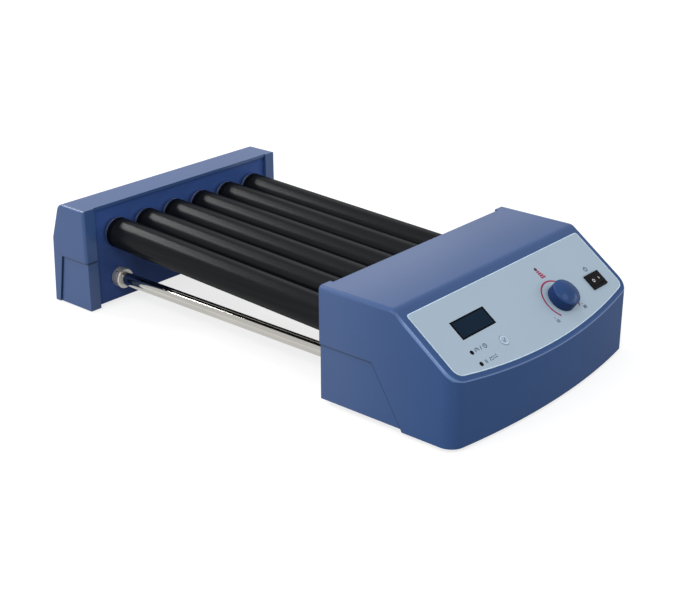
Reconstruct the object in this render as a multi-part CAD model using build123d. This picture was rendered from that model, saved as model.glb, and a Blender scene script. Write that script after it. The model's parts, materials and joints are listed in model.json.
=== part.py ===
from build123d import *

import os
from math import acos, atan2, cos, degrees, hypot, pi, radians, sin, sqrt, tan

# Roller mixer: a control head and an end block tied by two rods, with six driven rollers between them.
# X runs across the machine, -Y is the control side, +Y the end block, Z is up and the bench is Z = 0.

# Overall form; cuts run past a face by cut_past
body_width = 264.0
head_length = 150.0
clear_span = 298.0
tail_depth = 54.0
head_height = 107.5
tail_height = 103.7
shell_wall = 3.0
base_side_recess = 1.6
seam_gap = 0.5
seat_gap = 0.2
cut_past = 1.0
edge_tolerance = 0.01
rim_width = 14.0

# Control head
head_skirt_z = 3.4
head_floor_z = 5.0
floor_thickness = 3.0
slope_angle = 36.0
deck_depth = 77.0
bow_rise = 12.5
front_corner_radius = 14.0
bend_radius = 9.0
edge_radius = 3.5
head_lip_setback = 3.4
head_panel_recess = 5.0
head_seam_height = 55.0
head_seam_run = 55.0
head_seam_foot = 86.0

# End block
tail_rim_z = 1.2
tail_floor_z = 3.0
tail_top_depth = 38.5
tail_waist_depth = 50.5
tail_waist_height = 67.5
tail_top_radius = 8.0
tail_waist_radius = 12.0
tail_edge_radius = 2.8
tail_lip_setback = 1.5
tail_panel_recess = 3.5
tail_seam_height = 50.0
tail_seam_depth = 36.5
tail_seam_foot = 45.0

# Bearing panels and plates
panel_thickness = 3.0
plate_thickness = 8.0
plate_margin = 20.0
plate_top_margin = 9.5
bearing_outer_diameter = 22.0
bearing_width = 7.0
bearing_inner_ring_diameter = 12.0
bearing_fit_gap = 0.02
bearing_shield_step = 0.4
plate_lip_diameter = 19.0

# Rollers
roller_count = 6
roller_pitch = 37.2
roller_diameter = 30.0
roller_axis_height = 67.6
roller_end_gap = 2.25
sleeve_wall = 3.0
tube_wall = 2.0
hub_disc_thickness = 3.0
hub_disc_inset = 0.5
sleeve_fit_gap = 0.05
rock_offset = 6.0
rock_phase = 75.0
journal_diameter = 8.0
journal_clearance = 0.05
journal_end_chamfer = 0.6
journal_end_projection = 1.0
shoulder_diameter = 11.0
shoulder_gap = 0.3
journal_hole_clearance = 1.5

# Gear train
gear_module = 1.5
roller_gear_teeth = 16
idler_teeth = 14
pinion_teeth = 12
gear_width = 6.0
gear_gap = 2.0
gear_thinning = 0.3
addendum_factor = 0.9
dedendum_factor = 1.3
pressure_angle = 20.0
idler_pin_diameter = 6.0
idler_pin_head_diameter = 9.0
idler_pin_head_thickness = 1.5
idler_side_gap = 0.4

# Gearmotor
motor_plate_thickness = 2.5
motor_plate_width = 78.0
motor_plate_bottom = 12.0
motor_plate_top = 52.0
motor_plate_gap = 4.0
standoff_diameter = 8.0
standoff_inset = 6.0
standoff_stud_length = 4.0
gearbox_diameter = 37.0
gearbox_length = 25.0
motor_diameter = 34.0
motor_length = 31.0
motor_boss_diameter = 12.0
motor_boss_height = 1.5
motor_shaft_diameter = 6.0
motor_shaft_offset = 7.0
motor_bore_depth = 12.5
motor_shaft_end_gap = 1.0
motor_tail_boss_diameter = 10.0
motor_tail_boss_height = 2.5
motor_screw_circle = 31.0
motor_screw_count = 6
motor_screw_depth = 3.0
motor_screw_tip_gap = 1.0

# Tie rods
rod_diameter = 13.0
rod_from_side = 41.5
rod_height = 25.7
stud_diameter = 8.0
stud_projection = 9.5
stud_gap = 0.2
collar_diameter = 20.0
collar_length = 10.2
collar_chamfer = 0.8
collar_screw_diameter = 4.0
collar_screw_lean = 32.0
collar_screw_sink = 0.6
collar_screw_socket = 2.0
rod_nut_width = 13.0
rod_nut_height = 6.5

# Control panel on the slope: X across, S measured down the slope from the bend
overlay_side_margin = 7.3
overlay_top_s = 8.7
overlay_side_s = 72.3
overlay_middle_s = 86.4
overlay_thickness = 0.8
overlay_recess = 0.5
overlay_top_corner = 3.0
overlay_bottom_corner = 9.0
window_from_left = 63.0
window_s = 39.5
window_width = 45.6
window_height = 17.8
window_ledge = 1.4
knob_from_right = 91.6
knob_s = 57.0
knob_diameter = 26.5
knob_height = 13.6
knob_edge_radius = 1.6
knob_dome_rise = 3.0
knob_skirt_gap = 0.6
knob_shell = 3.0
knob_socket_depth = 8.5
knob_socket_diameter = 11.0
pot_shaft_diameter = 6.0
pot_bushing_diameter = 9.0
pot_body_diameter = 17.0
pot_body_height = 8.0
pot_hole_gap = 0.3
pot_base_thickness = 2.0
pot_shaft_end_gap = 0.5
button_from_left = 78.5
button_s = 64.5
button_diameter = 9.0
button_flange = 1.5
button_flange_thickness = 1.0
button_proud = 0.5
button_travel = 0.8
button_gap = 0.3
button_stem_diameter = 5.0
tact_size = 6.0
tact_height = 3.5
tact_plunger_diameter = 3.0
tact_plunger_height = 1.0
indicator_from_left = 38.5
indicator_s = 60.6
indicator_spacing = 11.8
indicator_diameter = 4.0
indicator_length = 5.0
indicator_flange = 0.8

# Power rocker switch
switch_from_right = 35.0
switch_s = 57.3
switch_bezel_length = 21.0
switch_bezel_width = 15.0
switch_bezel_height = 2.0
switch_body_inset = 1.0
switch_body_depth = 15.0
switch_wall = 1.4
switch_floor = 2.0
rocker_gap = 0.35
rocker_tilt = 10.0
rocker_pivot_depth = 3.0
rocker_valley_rise = 5.3
rocker_lip = 0.8
rocker_toe = 1.3
rocker_keel_depth = 4.5
trunnion_diameter = 3.0
trunnion_clearance = 0.06
trunnion_length = 0.8
trunnion_end_gap = 0.2
terminal_width = 4.8
terminal_thickness = 0.8
terminal_length = 8.0
terminal_spacing = 10.0

# Control board; each chip has its place from the board's left end, S, width, height and thickness
board_offset = 14.0
board_thickness = 1.6
board_from_left = 26.0
board_from_right = 62.0
board_top_s = 17.0
board_bottom_s = 79.0
board_post_diameter = 7.0
board_post_inset = 6.0
board_screw_diameter = 3.0
board_screw_head_diameter = 5.5
board_pilot_depth = 6.0
board_screw_tip_gap = 1.0
display_border = 2.4
display_screen_depth = 0.8
lamp_diameter = 3.0
board_chips = ((86.0, 42.0, 14.0, 14.0, 2.0), (111.0, 30.0, 10.0, 6.0, 1.8), (51.0, 30.0, 24.0, 6.0, 6.0),
               (21.0, 42.0, 6.0, 16.0, 8.0))
capacitor_places = ((126.0, 30.0), (138.0, 30.0))
capacitor_diameter = 8.0
capacitor_height = 11.0

# Direct current inlet
inlet_from_rear = 43.0
inlet_height = 26.0
inlet_diameter = 10.8
inlet_flange_diameter = 14.0
inlet_flange_thickness = 1.5
inlet_nut_width = 14.0
inlet_nut_height = 2.5
inlet_body_length = 13.0
inlet_socket_diameter = 5.6
inlet_socket_depth = 9.5
inlet_contact_diameter = 2.1
inlet_contact_sink = 1.0

# Fasteners and feet
case_screw_diameter = 4.0
case_screw_head_diameter = 7.5
case_screw_head_height = 1.8
case_screw_length = 12.0
case_post_diameter = 9.0
screw_fit_gap = 0.1
screw_head_gap = 0.2
screw_slot_width = 0.8
screw_slot_depth = 0.8
head_rear_post_row = 13.2
head_front_post_row = 113.0
tail_post_depth = 28.0
tail_inner_post_x = 40.0
plate_screw_from_end = 42.0
foot_diameter = 16.0
foot_taper = 1.0
head_rear_foot_row = 24.0
head_front_foot_row = 122.0
head_foot_from_side = 42.0
tail_foot_depth = 36.0
tail_foot_from_side = 47.0

# Places that follow from the sizes above
half_width = body_width / 2
overall_length = head_length + clear_span + tail_depth
head_front = -overall_length / 2
head_rear = head_front + head_length
tail_front = head_rear + clear_span
tail_back = tail_front + tail_depth
bend_y = head_rear - deck_depth
slope = radians(slope_angle)
bow_radius = (half_width**2 + bow_rise**2) / (2 * bow_rise)
bow_centre_y = head_front + bow_radius
head_panel_face = head_rear - head_panel_recess
head_plate_face = head_panel_face - panel_thickness
head_plate_back = head_plate_face - plate_thickness
tail_panel_face = tail_front + tail_panel_recess
tail_plate_face = tail_panel_face + panel_thickness
tail_plate_back = tail_plate_face + plate_thickness
head_floor_top = head_floor_z + floor_thickness
tail_floor_top = tail_floor_z + floor_thickness
window_half = half_width - rim_width
panel_half = half_width - shell_wall - seat_gap
roller_first = head_panel_face + roller_end_gap
roller_last = tail_panel_face - roller_end_gap
roller_xs = [(index - (roller_count - 1) / 2) * roller_pitch for index in range(roller_count)]
idler_distance = gear_module * (roller_gear_teeth + idler_teeth) / 2
pinion_distance = gear_module * (pinion_teeth + idler_teeth) / 2
idler_drop = sqrt(idler_distance**2 - (roller_pitch / 2)**2)
idler_height = roller_axis_height - idler_drop
idler_xs = [(left + right) / 2 for left, right in zip(roller_xs, roller_xs[1:])]
driven_idler = len(idler_xs) // 2
pinion_x = idler_xs[driven_idler]
pinion_height = idler_height - pinion_distance
gear_face = head_plate_back - gear_gap
gear_back = gear_face - gear_width
motor_plate_face = gear_back - motor_plate_gap
motor_plate_back = motor_plate_face - motor_plate_thickness
journal_hole_diameter = shoulder_diameter + 2 * journal_hole_clearance
rod_xs = (rod_from_side - half_width, half_width - rod_from_side)
plate_half = half_width - plate_margin
plate_screw_xs = (plate_screw_from_end - plate_half, 0, plate_half - plate_screw_from_end)
case_post_x = half_width - shell_wall - seam_gap - case_post_diameter / 2
head_post_ys = (head_rear - head_rear_post_row, head_rear - head_front_post_row)
head_posts = [(side * case_post_x, y) for side in (-1, 1) for y in head_post_ys]
tail_post_y = tail_front + tail_post_depth
tail_posts = [(side * x, tail_post_y) for side in (-1, 1) for x in (tail_inner_post_x, case_post_x)]
overlay_half_width = half_width - overlay_side_margin
window_x = window_from_left - half_width
button_x = button_from_left - half_width
indicator_x = indicator_from_left - half_width
indicator_rows = (indicator_s, indicator_s + indicator_spacing)
knob_x = half_width - knob_from_right
switch_x = half_width - switch_from_right
board_left = board_from_left - half_width
board_right = half_width - board_from_right
board_mid_s = (board_top_s + board_bottom_s) / 2
board_xs = (board_left + board_post_inset, board_right - board_post_inset)
board_rows = (board_top_s + board_post_inset, board_bottom_s - board_post_inset)
overlay_top = overlay_thickness - overlay_recess
switch_body_length = switch_bezel_length - 2 * switch_body_inset
switch_body_width = switch_bezel_width - 2 * switch_body_inset


# Shapes used by several pieces

def block(x0, x1, y0, y1, z0, z1):
    """Rectangular solid between two opposite corners, given in either order."""
    return Pos((x0 + x1) / 2, (y0 + y1) / 2, (z0 + z1) / 2) * Box(abs(x1 - x0), abs(y1 - y0), abs(z1 - z0))


def pin_y(x, z, diameter, y0, y1):
    """Cylinder along Y between two places."""
    return Pos(x, (y0 + y1) / 2, z) * Rot(90, 0, 0) * Cylinder(diameter / 2, abs(y1 - y0))


def pin_z(x, y, diameter, z0, z1):
    """Upright cylinder between two heights."""
    return Pos(x, y, (z0 + z1) / 2) * Cylinder(diameter / 2, abs(z1 - z0))


def hole_y(x, z, diameter, y0, y1):
    """Round cut along Y through a wall between two places."""
    low, high = sorted((y0, y1))
    return pin_y(x, z, diameter, low - cut_past, high + cut_past)


def hole_z(x, y, diameter, z0, z1):
    """Round upright cut through a wall between two heights."""
    return pin_z(x, y, diameter, z0 - cut_past, z1 + cut_past)


def side_profile(points, half=half_width):
    """Solid across the machine from an outline of (y, z) points."""
    plane = Plane(origin=(-half, 0, 0), x_dir=(0, 1, 0), z_dir=(1, 0, 0))
    return extrude(plane * make_face(Polyline(*points, close=True)), amount=2 * half)


def slope_plane(x=0.0, s=0.0, depth=0.0):
    """Plane of the sloping face at a place on it, moved in by a depth. Its local Y runs up the slope."""
    normal = Vector(0, -sin(slope), cos(slope))
    down = Vector(0, -cos(slope), -sin(slope))
    origin = Vector(x, bend_y, head_height) + down * s - normal * depth
    return Plane(origin=origin, x_dir=(1, 0, 0), z_dir=normal)


def slope_box(x, s, width, height, depth0, depth1):
    """Rectangular solid set square to the slope between two depths below its face."""
    middle = slope_plane(x, s, (depth0 + depth1) / 2)
    return middle * Box(width, height, abs(depth1 - depth0))


def slope_pin(x, s, diameter, depth0, depth1):
    """Round solid set square to the slope between two depths below its face."""
    middle = slope_plane(x, s, (depth0 + depth1) / 2)
    return middle * Cylinder(diameter / 2, abs(depth1 - depth0))


def slope_hole(x, s, diameter):
    """Round cut square to the slope, right through the overlay and the shell."""
    return slope_pin(x, s, diameter, -overlay_thickness - cut_past, shell_wall + cut_past)


def slope_slot(x, s, width, height):
    """Rectangular cut square to the slope, right through the overlay and the shell."""
    return slope_box(x, s, width, height, -overlay_thickness - cut_past, shell_wall + cut_past)


# Control head

def head_footprint(inset, rear_inset):
    """Plan outline of the head: straight sides and rear, bowed front with rounded corners."""
    half = half_width - inset
    radius = bow_radius - inset
    corner_y = bow_centre_y - sqrt(radius**2 - half**2)
    rear_y = head_rear - rear_inset
    bow = ThreePointArc((half, corner_y), (0, bow_centre_y - radius), (-half, corner_y))
    sides = Polyline((-half, corner_y), (-half, rear_y), (half, rear_y), (half, corner_y))
    face = make_face(bow + sides)
    corners = face.vertices().sort_by(Axis.Y)[:2]
    return fillet(corners, front_corner_radius - inset)


def head_block(inset, rear_inset, bottom):
    """Head form inside a given wall: the footprint raised to the deck and cut by the slope."""
    raised = Pos(0, 0, bottom) * extrude(head_footprint(inset, rear_inset), head_height - inset - bottom)
    reach = 2 * head_length
    above = Box(2 * body_width, reach, reach, align=(Align.CENTER, Align.CENTER, Align.MIN))
    return raised - slope_plane(depth=inset) * above


def head_outer():
    """Outside of the head with its bend and rim edges rounded."""
    body = head_block(0, 0, head_skirt_z)
    body = fillet(nearest_cross_edge(body, bend_y, head_height), bend_radius)
    rim = [edge for edge in body.edges() if is_rim_edge(edge)]
    return fillet(rim, edge_radius)


def nearest_cross_edge(body, y, z):
    """Straight edge along X whose middle lies nearest to a place in the side view."""
    across = body.edges().filter_by(Axis.X)
    return across.sort_by(lambda edge: abs(edge.center().Y - y) + abs(edge.center().Z - z))[0]


def same_place(first, second):
    """True where two lengths differ by less than the smallest real size."""
    return abs(first - second) < edge_tolerance


def is_rim_edge(edge):
    """True for the edges where the deck and slope meet the side and front walls."""
    start, middle, end = edge @ 0, edge @ 0.5, edge @ 1
    same_y = same_place(start.Y, end.Y)
    upright = same_place(start.X, end.X) and same_y
    across = same_place(start.Z, end.Z) and same_y and same_place(middle.Y, start.Y)
    above_skirt = min(start.Z, middle.Z, end.Z) > head_skirt_z + edge_tolerance
    return above_skirt and not upright and not across


def head_seam_region(grow, bottom):
    """Lower rear part of the head's sides, which belongs to the base, grown by a gap."""
    rise = head_seam_height - head_floor_z
    lean = (head_seam_foot - head_seam_run) / rise
    slant = grow * hypot(1, lean)
    top = head_seam_height + grow
    knee = head_rear - head_seam_run - slant + grow * lean
    foot = head_rear - head_seam_foot - slant - (head_floor_z - bottom) * lean
    behind = head_rear + cut_past
    return side_profile([(behind, bottom), (behind, top), (knee, top), (foot, bottom)], body_width)


def panel_window(lip_setback, recess, top, y, inward):
    """Cut that sets a bearing panel back between the rims, with the deck's edge set back above it."""
    outside = y - inward * cut_past
    lip_cut = block(-window_half, window_half, outside, y + inward * lip_setback, -cut_past, top + cut_past)
    return lip_cut + block(-window_half, window_half, outside, y + inward * recess, -cut_past, top - shell_wall)


def head_shell():
    """Hollow outside of the head before it is parted into cover and base."""
    cavity = head_block(shell_wall, head_panel_recess, head_skirt_z - cut_past)
    shell = head_outer() - cavity
    return shell - panel_window(head_lip_setback, head_panel_recess, head_height, head_rear, -1)


def case_post(x, y, bottom, top, inside):
    """Screw post that hangs from a cover, limited to the cover's inside."""
    post = pin_z(x, y, case_post_diameter, bottom, top) & inside
    pilot = pin_z(x, y, case_screw_diameter + screw_fit_gap, bottom - cut_past, bottom + case_screw_length)
    return post - pilot


def overlay_outline(shrink=0.0):
    """Control panel film: straight top, rounded corners and a bowed lower edge."""
    half = overlay_half_width - shrink
    top = -overlay_top_s - shrink
    side = -overlay_side_s + shrink
    middle = -overlay_middle_s + shrink
    bow = ThreePointArc((half, side), (0, middle), (-half, side))
    frame = Polyline((-half, side), (-half, top), (half, top), (half, side))
    face = make_face(bow + frame)
    face = fillet(face.vertices().sort_by(Axis.Y)[:2], overlay_bottom_corner - shrink)
    return fillet(face.vertices().sort_by(Axis.Y)[-2:], overlay_top_corner - shrink)


def make_head_cover():
    shell = head_shell() - head_seam_region(seam_gap, head_skirt_z - cut_past)
    inside = head_block(shell_wall / 2, head_panel_recess, head_skirt_z)
    for x, y in head_posts:
        shell += case_post(x, y, head_floor_top + seat_gap, head_height, inside)
    film_seat = extrude(overlay_outline(-seat_gap), overlay_recess + cut_past)
    shell -= slope_plane(depth=overlay_recess) * film_seat
    shell -= slope_slot(window_x, window_s, window_width - 2 * window_ledge, window_height - 2 * window_ledge)
    for x in board_xs:
        for s in board_rows:
            post = slope_pin(x, s, board_post_diameter, shell_wall / 2, board_offset)
            pilot_diameter = board_screw_diameter - screw_fit_gap
            pilot = slope_pin(x, s, pilot_diameter, board_offset - board_pilot_depth, board_offset + cut_past)
            shell = shell + post - pilot
    shell -= slope_hole(knob_x, knob_s, pot_bushing_diameter + 2 * pot_hole_gap)
    shell -= slope_hole(button_x, button_s, button_diameter + 2 * button_gap)
    for s in indicator_rows:
        shell -= slope_hole(indicator_x, s, indicator_diameter + seat_gap)
    return shell - slope_slot(switch_x, switch_s, switch_body_length + 2 * seat_gap,
                              switch_body_width + 2 * seat_gap)


def case_screw_hole(x, y, bottom, top):
    """Clearance hole and head recess for a case screw driven up from below."""
    hole = hole_z(x, y, case_screw_diameter + 2 * screw_fit_gap, bottom, top)
    head_space = case_screw_head_diameter + 2 * screw_head_gap
    return hole + pin_z(x, y, head_space, bottom - cut_past, bottom + case_screw_head_height + screw_fit_gap)


def set_sides_back(base):
    """Lower shell with its side walls set back from the sides of its cover."""
    inner = half_width - base_side_recess
    for side in (-1, 1):
        outer = half_width + cut_past
        base -= block(side * inner, side * outer, -overall_length, overall_length, -cut_past, head_height)
    return base


def make_head_base():
    walls = head_shell() & head_seam_region(0, head_floor_z)
    rear_inset = head_panel_recess + panel_thickness
    lift = Pos(0, 0, head_floor_z)
    floor_block = lift * extrude(head_footprint(shell_wall / 2, rear_inset), floor_thickness)
    inner_floor = lift * extrude(head_footprint(shell_wall + seam_gap, rear_inset), floor_thickness)
    base = walls + (floor_block & head_seam_region(0, head_floor_z)) + inner_floor
    for x, y in head_posts:
        base -= case_screw_hole(x, y, head_floor_z, head_floor_top)
    plate_y = (head_plate_face + head_plate_back) / 2
    for x in plate_screw_xs:
        base -= case_screw_hole(x, plate_y, head_floor_z, head_floor_top)
    hole = Cylinder(inlet_diameter / 2 + screw_fit_gap, 2 * (shell_wall + cut_past))
    pocket = Cylinder(inlet_flange_diameter / 2 + screw_fit_gap, 2 * inlet_flange_thickness)
    return set_sides_back(base - inlet_place() * (hole + pocket))


def inlet_place():
    """Frame on the head's right side at the supply socket, with Z pointing out."""
    return Pos(half_width, head_rear - inlet_from_rear, inlet_height) * Rot(0, 90, 0)


# Bearing panels and plates

def make_panel(face_y, toward, bottom, top):
    """Blue panel between the rims, with holes for the roller journals and the tie rods."""
    y0, y1 = sorted((face_y, face_y + toward * panel_thickness))
    panel = block(-panel_half, panel_half, y0, y1, bottom, top)
    for x in roller_xs:
        panel -= hole_y(x, roller_axis_height, journal_hole_diameter, y0, y1)
    for x in rod_xs:
        panel -= hole_y(x, rod_height, stud_diameter + 2 * stud_gap, y0, y1)
    return panel


def make_bearing_plate(face_y, toward, bottom, top):
    """Plate that holds the six bearings in stepped bores and takes the tie rods' studs."""
    y0, y1 = sorted((face_y, face_y + toward * plate_thickness))
    plate = block(-plate_half, plate_half, y0, y1, bottom, top)
    seat0 = face_y + toward * (plate_thickness - bearing_width)
    seat1 = face_y + toward * (plate_thickness + cut_past)
    for x in roller_xs:
        plate -= hole_y(x, roller_axis_height, plate_lip_diameter, y0, y1)
        plate -= pin_y(x, roller_axis_height, bearing_outer_diameter + 2 * bearing_fit_gap, seat0, seat1)
    for x in rod_xs:
        plate -= hole_y(x, rod_height, stud_diameter + 2 * stud_gap, y0, y1)
    middle_y = (y0 + y1) / 2
    for x in plate_screw_xs:
        pilot_diameter = case_screw_diameter + screw_fit_gap
        plate -= pin_z(x, middle_y, pilot_diameter, bottom - cut_past, bottom + case_screw_length)
    return plate


def make_head_bearing_plate():
    plate = make_bearing_plate(head_plate_face, -1, head_floor_top, head_height - plate_top_margin)
    for x in idler_xs:
        plate -= hole_y(x, idler_height, idler_pin_diameter, head_plate_back, head_plate_face)
    for x, z in standoff_places():
        plate -= hole_y(x, z, case_screw_diameter, head_plate_back, head_plate_face)
    return plate


def bearing(x, y0, y1):
    """Shielded ball bearing as one ring with its shields set back."""
    ring = pin_y(x, roller_axis_height, bearing_outer_diameter, y0, y1)
    ring -= hole_y(x, roller_axis_height, journal_diameter + 2 * journal_clearance, y0, y1)
    for face, inward in ((y0, 1), (y1, -1)):
        outside = face - inward * cut_past
        shield = pin_y(x, roller_axis_height, plate_lip_diameter, outside, face + inward * bearing_shield_step)
        ring -= shield - hole_y(x, roller_axis_height, bearing_inner_ring_diameter, outside, face + inward)
    return ring


def make_bearings(plate_face, toward):
    start = plate_face + toward * (plate_thickness - bearing_width)
    y0, y1 = sorted((start, start + toward * bearing_width))
    return Compound([bearing(x, y0, y1) for x in roller_xs])


# Rollers

def roller_frame(x):
    """Frame on the roller's own tilted axis, with Z along it and the origin at its middle."""
    swing_x = rock_offset * cos(radians(rock_phase))
    swing_z = rock_offset * sin(radians(rock_phase))
    near = Vector(x - swing_x, roller_first, roller_axis_height - swing_z)
    far = Vector(x + swing_x, roller_last, roller_axis_height + swing_z)
    middle = (near + far) * 0.5
    return Plane(origin=middle, x_dir=(1, 0, 0), z_dir=far - near), (far - near).length


def make_roller_sleeve(x):
    frame, length = roller_frame(x)
    sleeve_length = length - 2 * hub_disc_thickness
    inner = roller_diameter / 2 - sleeve_wall
    sleeve = Cylinder(roller_diameter / 2, sleeve_length) - Cylinder(inner, sleeve_length + cut_past)
    return frame * sleeve


def make_roller_core(x):
    """Metal tube with its welded end discs and the journals, which lie on the turning axis."""
    frame, length = roller_frame(x)
    tube_radius = roller_diameter / 2 - sleeve_wall - sleeve_fit_gap
    tube = Cylinder(tube_radius, length - hub_disc_thickness) - Cylinder(tube_radius - tube_wall, length)
    disc = Cylinder(roller_diameter / 2 - hub_disc_inset, hub_disc_thickness)
    reach = (length - hub_disc_thickness) / 2
    body = frame * (tube + Pos(0, 0, reach) * disc + Pos(0, 0, -reach) * disc)
    head_bearing_face = head_plate_face - (plate_thickness - bearing_width)
    tail_bearing_face = tail_plate_face + (plate_thickness - bearing_width)
    half_disc = hub_disc_thickness / 2
    shoulder_head = pin_y(x, roller_axis_height, shoulder_diameter, head_bearing_face + shoulder_gap,
                          roller_first + half_disc)
    shoulder_tail = pin_y(x, roller_axis_height, shoulder_diameter, roller_last - half_disc,
                          tail_bearing_face - shoulder_gap)
    head_end = gear_back - journal_end_projection
    tail_end = tail_plate_back + journal_end_projection
    journal_head = pin_y(x, roller_axis_height, journal_diameter, head_end, roller_first + half_disc)
    journal_tail = pin_y(x, roller_axis_height, journal_diameter, roller_last - half_disc, tail_end)
    journal_head = chamfer(journal_head.edges().sort_by(Axis.Y)[0], journal_end_chamfer)
    journal_tail = chamfer(journal_tail.edges().sort_by(Axis.Y)[-1], journal_end_chamfer)
    return body + shoulder_head + shoulder_tail + journal_head + journal_tail


# Gear train

def tooth_half_angle(teeth, radius):
    """Half the angle that one thinned involute tooth takes up at a radius."""
    pitch_radius = gear_module * teeth / 2
    base_radius = pitch_radius * cos(radians(pressure_angle))
    rolling = acos(min(1.0, base_radius / radius))
    involute_here = tan(rolling) - rolling
    involute_pitch = tan(radians(pressure_angle)) - radians(pressure_angle)
    return pi / (2 * teeth) - gear_thinning / (2 * pitch_radius) + involute_pitch - involute_here


def gear(teeth, x, z, phase, bore):
    """Spur gear around an axis along Y, with a tooth centred at the phase angle."""
    pitch_radius = gear_module * teeth / 2
    tip = pitch_radius + addendum_factor * gear_module
    root = pitch_radius - dedendum_factor * gear_module
    flank_radii = (root, (root + pitch_radius) / 2, pitch_radius, (pitch_radius + tip) / 2, tip)
    flank = [(radius, tooth_half_angle(teeth, radius)) for radius in flank_radii]
    points = []
    for tooth in range(teeth):
        middle = phase + 2 * pi * tooth / teeth
        for radius, half_angle in flank:
            points.append((x + radius * cos(middle - half_angle), z + radius * sin(middle - half_angle)))
        for radius, half_angle in reversed(flank):
            points.append((x + radius * cos(middle + half_angle), z + radius * sin(middle + half_angle)))
    plane = Plane(origin=(0, gear_face, 0), x_dir=(1, 0, 0), z_dir=(0, -1, 0))
    wheel = extrude(plane * make_face(Polyline(*points, close=True)), gear_width)
    return wheel - hole_y(x, z, bore, gear_back, gear_face)


def meshing_phase(phase, teeth, place, other_teeth, other_place):
    """Phase of the second gear that puts its gap on the first gear's tooth at the line of centres."""
    bearing_angle = atan2(other_place[1] - place[1], other_place[0] - place[0])
    first_phase = (bearing_angle - phase) * teeth
    return bearing_angle + pi - (pi - first_phase) / other_teeth


def train_phases():
    """Phases of the roller gears, the idlers between them and the motor's pinion."""
    roller_phases = [0.0]
    idler_phases = []
    for index, x in enumerate(idler_xs):
        left = (roller_xs[index], roller_axis_height)
        right = (roller_xs[index + 1], roller_axis_height)
        place = (x, idler_height)
        idler_phases.append(meshing_phase(roller_phases[-1], roller_gear_teeth, left, idler_teeth, place))
        roller_phases.append(meshing_phase(idler_phases[-1], idler_teeth, place, roller_gear_teeth, right))
    driven = (pinion_x, idler_height)
    pinion_place = (pinion_x, pinion_height)
    pinion_phase = meshing_phase(idler_phases[driven_idler], idler_teeth, driven, pinion_teeth, pinion_place)
    return roller_phases, idler_phases, pinion_phase


def make_idler_pins():
    pins = []
    for x in idler_xs:
        head_y = gear_back - idler_side_gap
        pin = pin_y(x, idler_height, idler_pin_diameter, head_y, head_plate_face)
        pin += pin_y(x, idler_height, idler_pin_head_diameter, head_y - idler_pin_head_thickness, head_y)
        pin += pin_y(x, idler_height, idler_pin_head_diameter, gear_face + idler_side_gap, head_plate_back)
        pins.append(pin)
    return Compound(pins)


# Gearmotor and its plate

def standoff_places():
    """Centres of the four standoffs near the motor plate's corners."""
    half = motor_plate_width / 2 - standoff_inset
    rows = (motor_plate_bottom + standoff_inset, motor_plate_top - standoff_inset - standoff_diameter)
    return [(pinion_x + side * half, row) for side in (-1, 1) for row in rows]


def make_motor_plate():
    half = motor_plate_width / 2
    plate = block(pinion_x - half, pinion_x + half, motor_plate_back, motor_plate_face,
                  motor_plate_bottom, motor_plate_top)
    boss_hole = motor_boss_diameter + 2 * screw_fit_gap
    plate -= hole_y(pinion_x, pinion_height, boss_hole, motor_plate_back, motor_plate_face)
    for x, z in standoff_places():
        plate -= hole_y(x, z, case_screw_diameter + 2 * screw_fit_gap, motor_plate_back, motor_plate_face)
    for x, z in motor_screw_places():
        plate -= hole_y(x, z, board_screw_diameter + 2 * screw_fit_gap, motor_plate_back, motor_plate_face)
    return plate


def motor_screw_places():
    """Circle of tapped holes in the gearbox's face, about the gearbox's own centre."""
    centre_z = pinion_height - motor_shaft_offset
    places = []
    for index in range(motor_screw_count):
        angle = 2 * pi * index / motor_screw_count
        radius = motor_screw_circle / 2
        places.append((pinion_x + radius * cos(angle), centre_z + radius * sin(angle)))
    return places


def make_gearmotor():
    """Gearbox with its offset boss, and the motor can behind it."""
    centre_z = pinion_height - motor_shaft_offset
    gearbox_end = motor_plate_back - gearbox_length
    can_end = gearbox_end - motor_length
    boss_face = motor_plate_back + motor_boss_height
    motor = pin_y(pinion_x, centre_z, gearbox_diameter, gearbox_end, motor_plate_back)
    motor += pin_y(pinion_x, centre_z, motor_diameter, can_end, gearbox_end)
    motor += pin_y(pinion_x, centre_z, motor_tail_boss_diameter, can_end - motor_tail_boss_height, can_end)
    motor += pin_y(pinion_x, pinion_height, motor_boss_diameter, motor_plate_back, boss_face)
    shaft_bore = motor_shaft_diameter + 2 * journal_clearance
    motor -= pin_y(pinion_x, pinion_height, shaft_bore, motor_plate_back - motor_bore_depth, boss_face + cut_past)
    for x, z in motor_screw_places():
        hole_end = motor_plate_back - motor_screw_depth - motor_screw_tip_gap
        motor -= pin_y(x, z, board_screw_diameter - screw_fit_gap, hole_end, motor_plate_back + cut_past)
    return motor


def make_motor_pinion(phase):
    """Pinion with the gearbox's output shaft, which turn as one."""
    shaft_end = motor_plate_back - motor_bore_depth + motor_shaft_end_gap
    shaft = pin_y(pinion_x, pinion_height, motor_shaft_diameter, shaft_end, gear_face)
    return gear(pinion_teeth, pinion_x, pinion_height, phase, motor_shaft_diameter / 2) + shaft


def make_standoffs():
    """Standoffs with a stud in the bearing plate and a screw through the motor plate."""
    pieces = []
    for x, z in standoff_places():
        post = pin_y(x, z, standoff_diameter, motor_plate_face, head_plate_back)
        stud_end = head_plate_back + standoff_stud_length
        post += pin_y(x, z, case_screw_diameter - screw_fit_gap, head_plate_back, stud_end)
        post += pin_y(x, z, case_screw_diameter, motor_plate_back, motor_plate_face)
        head_end = motor_plate_back - case_screw_head_height
        post += pin_y(x, z, case_screw_head_diameter, head_end, motor_plate_back)
        pieces.append(post)
    return Compound(pieces)


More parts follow.
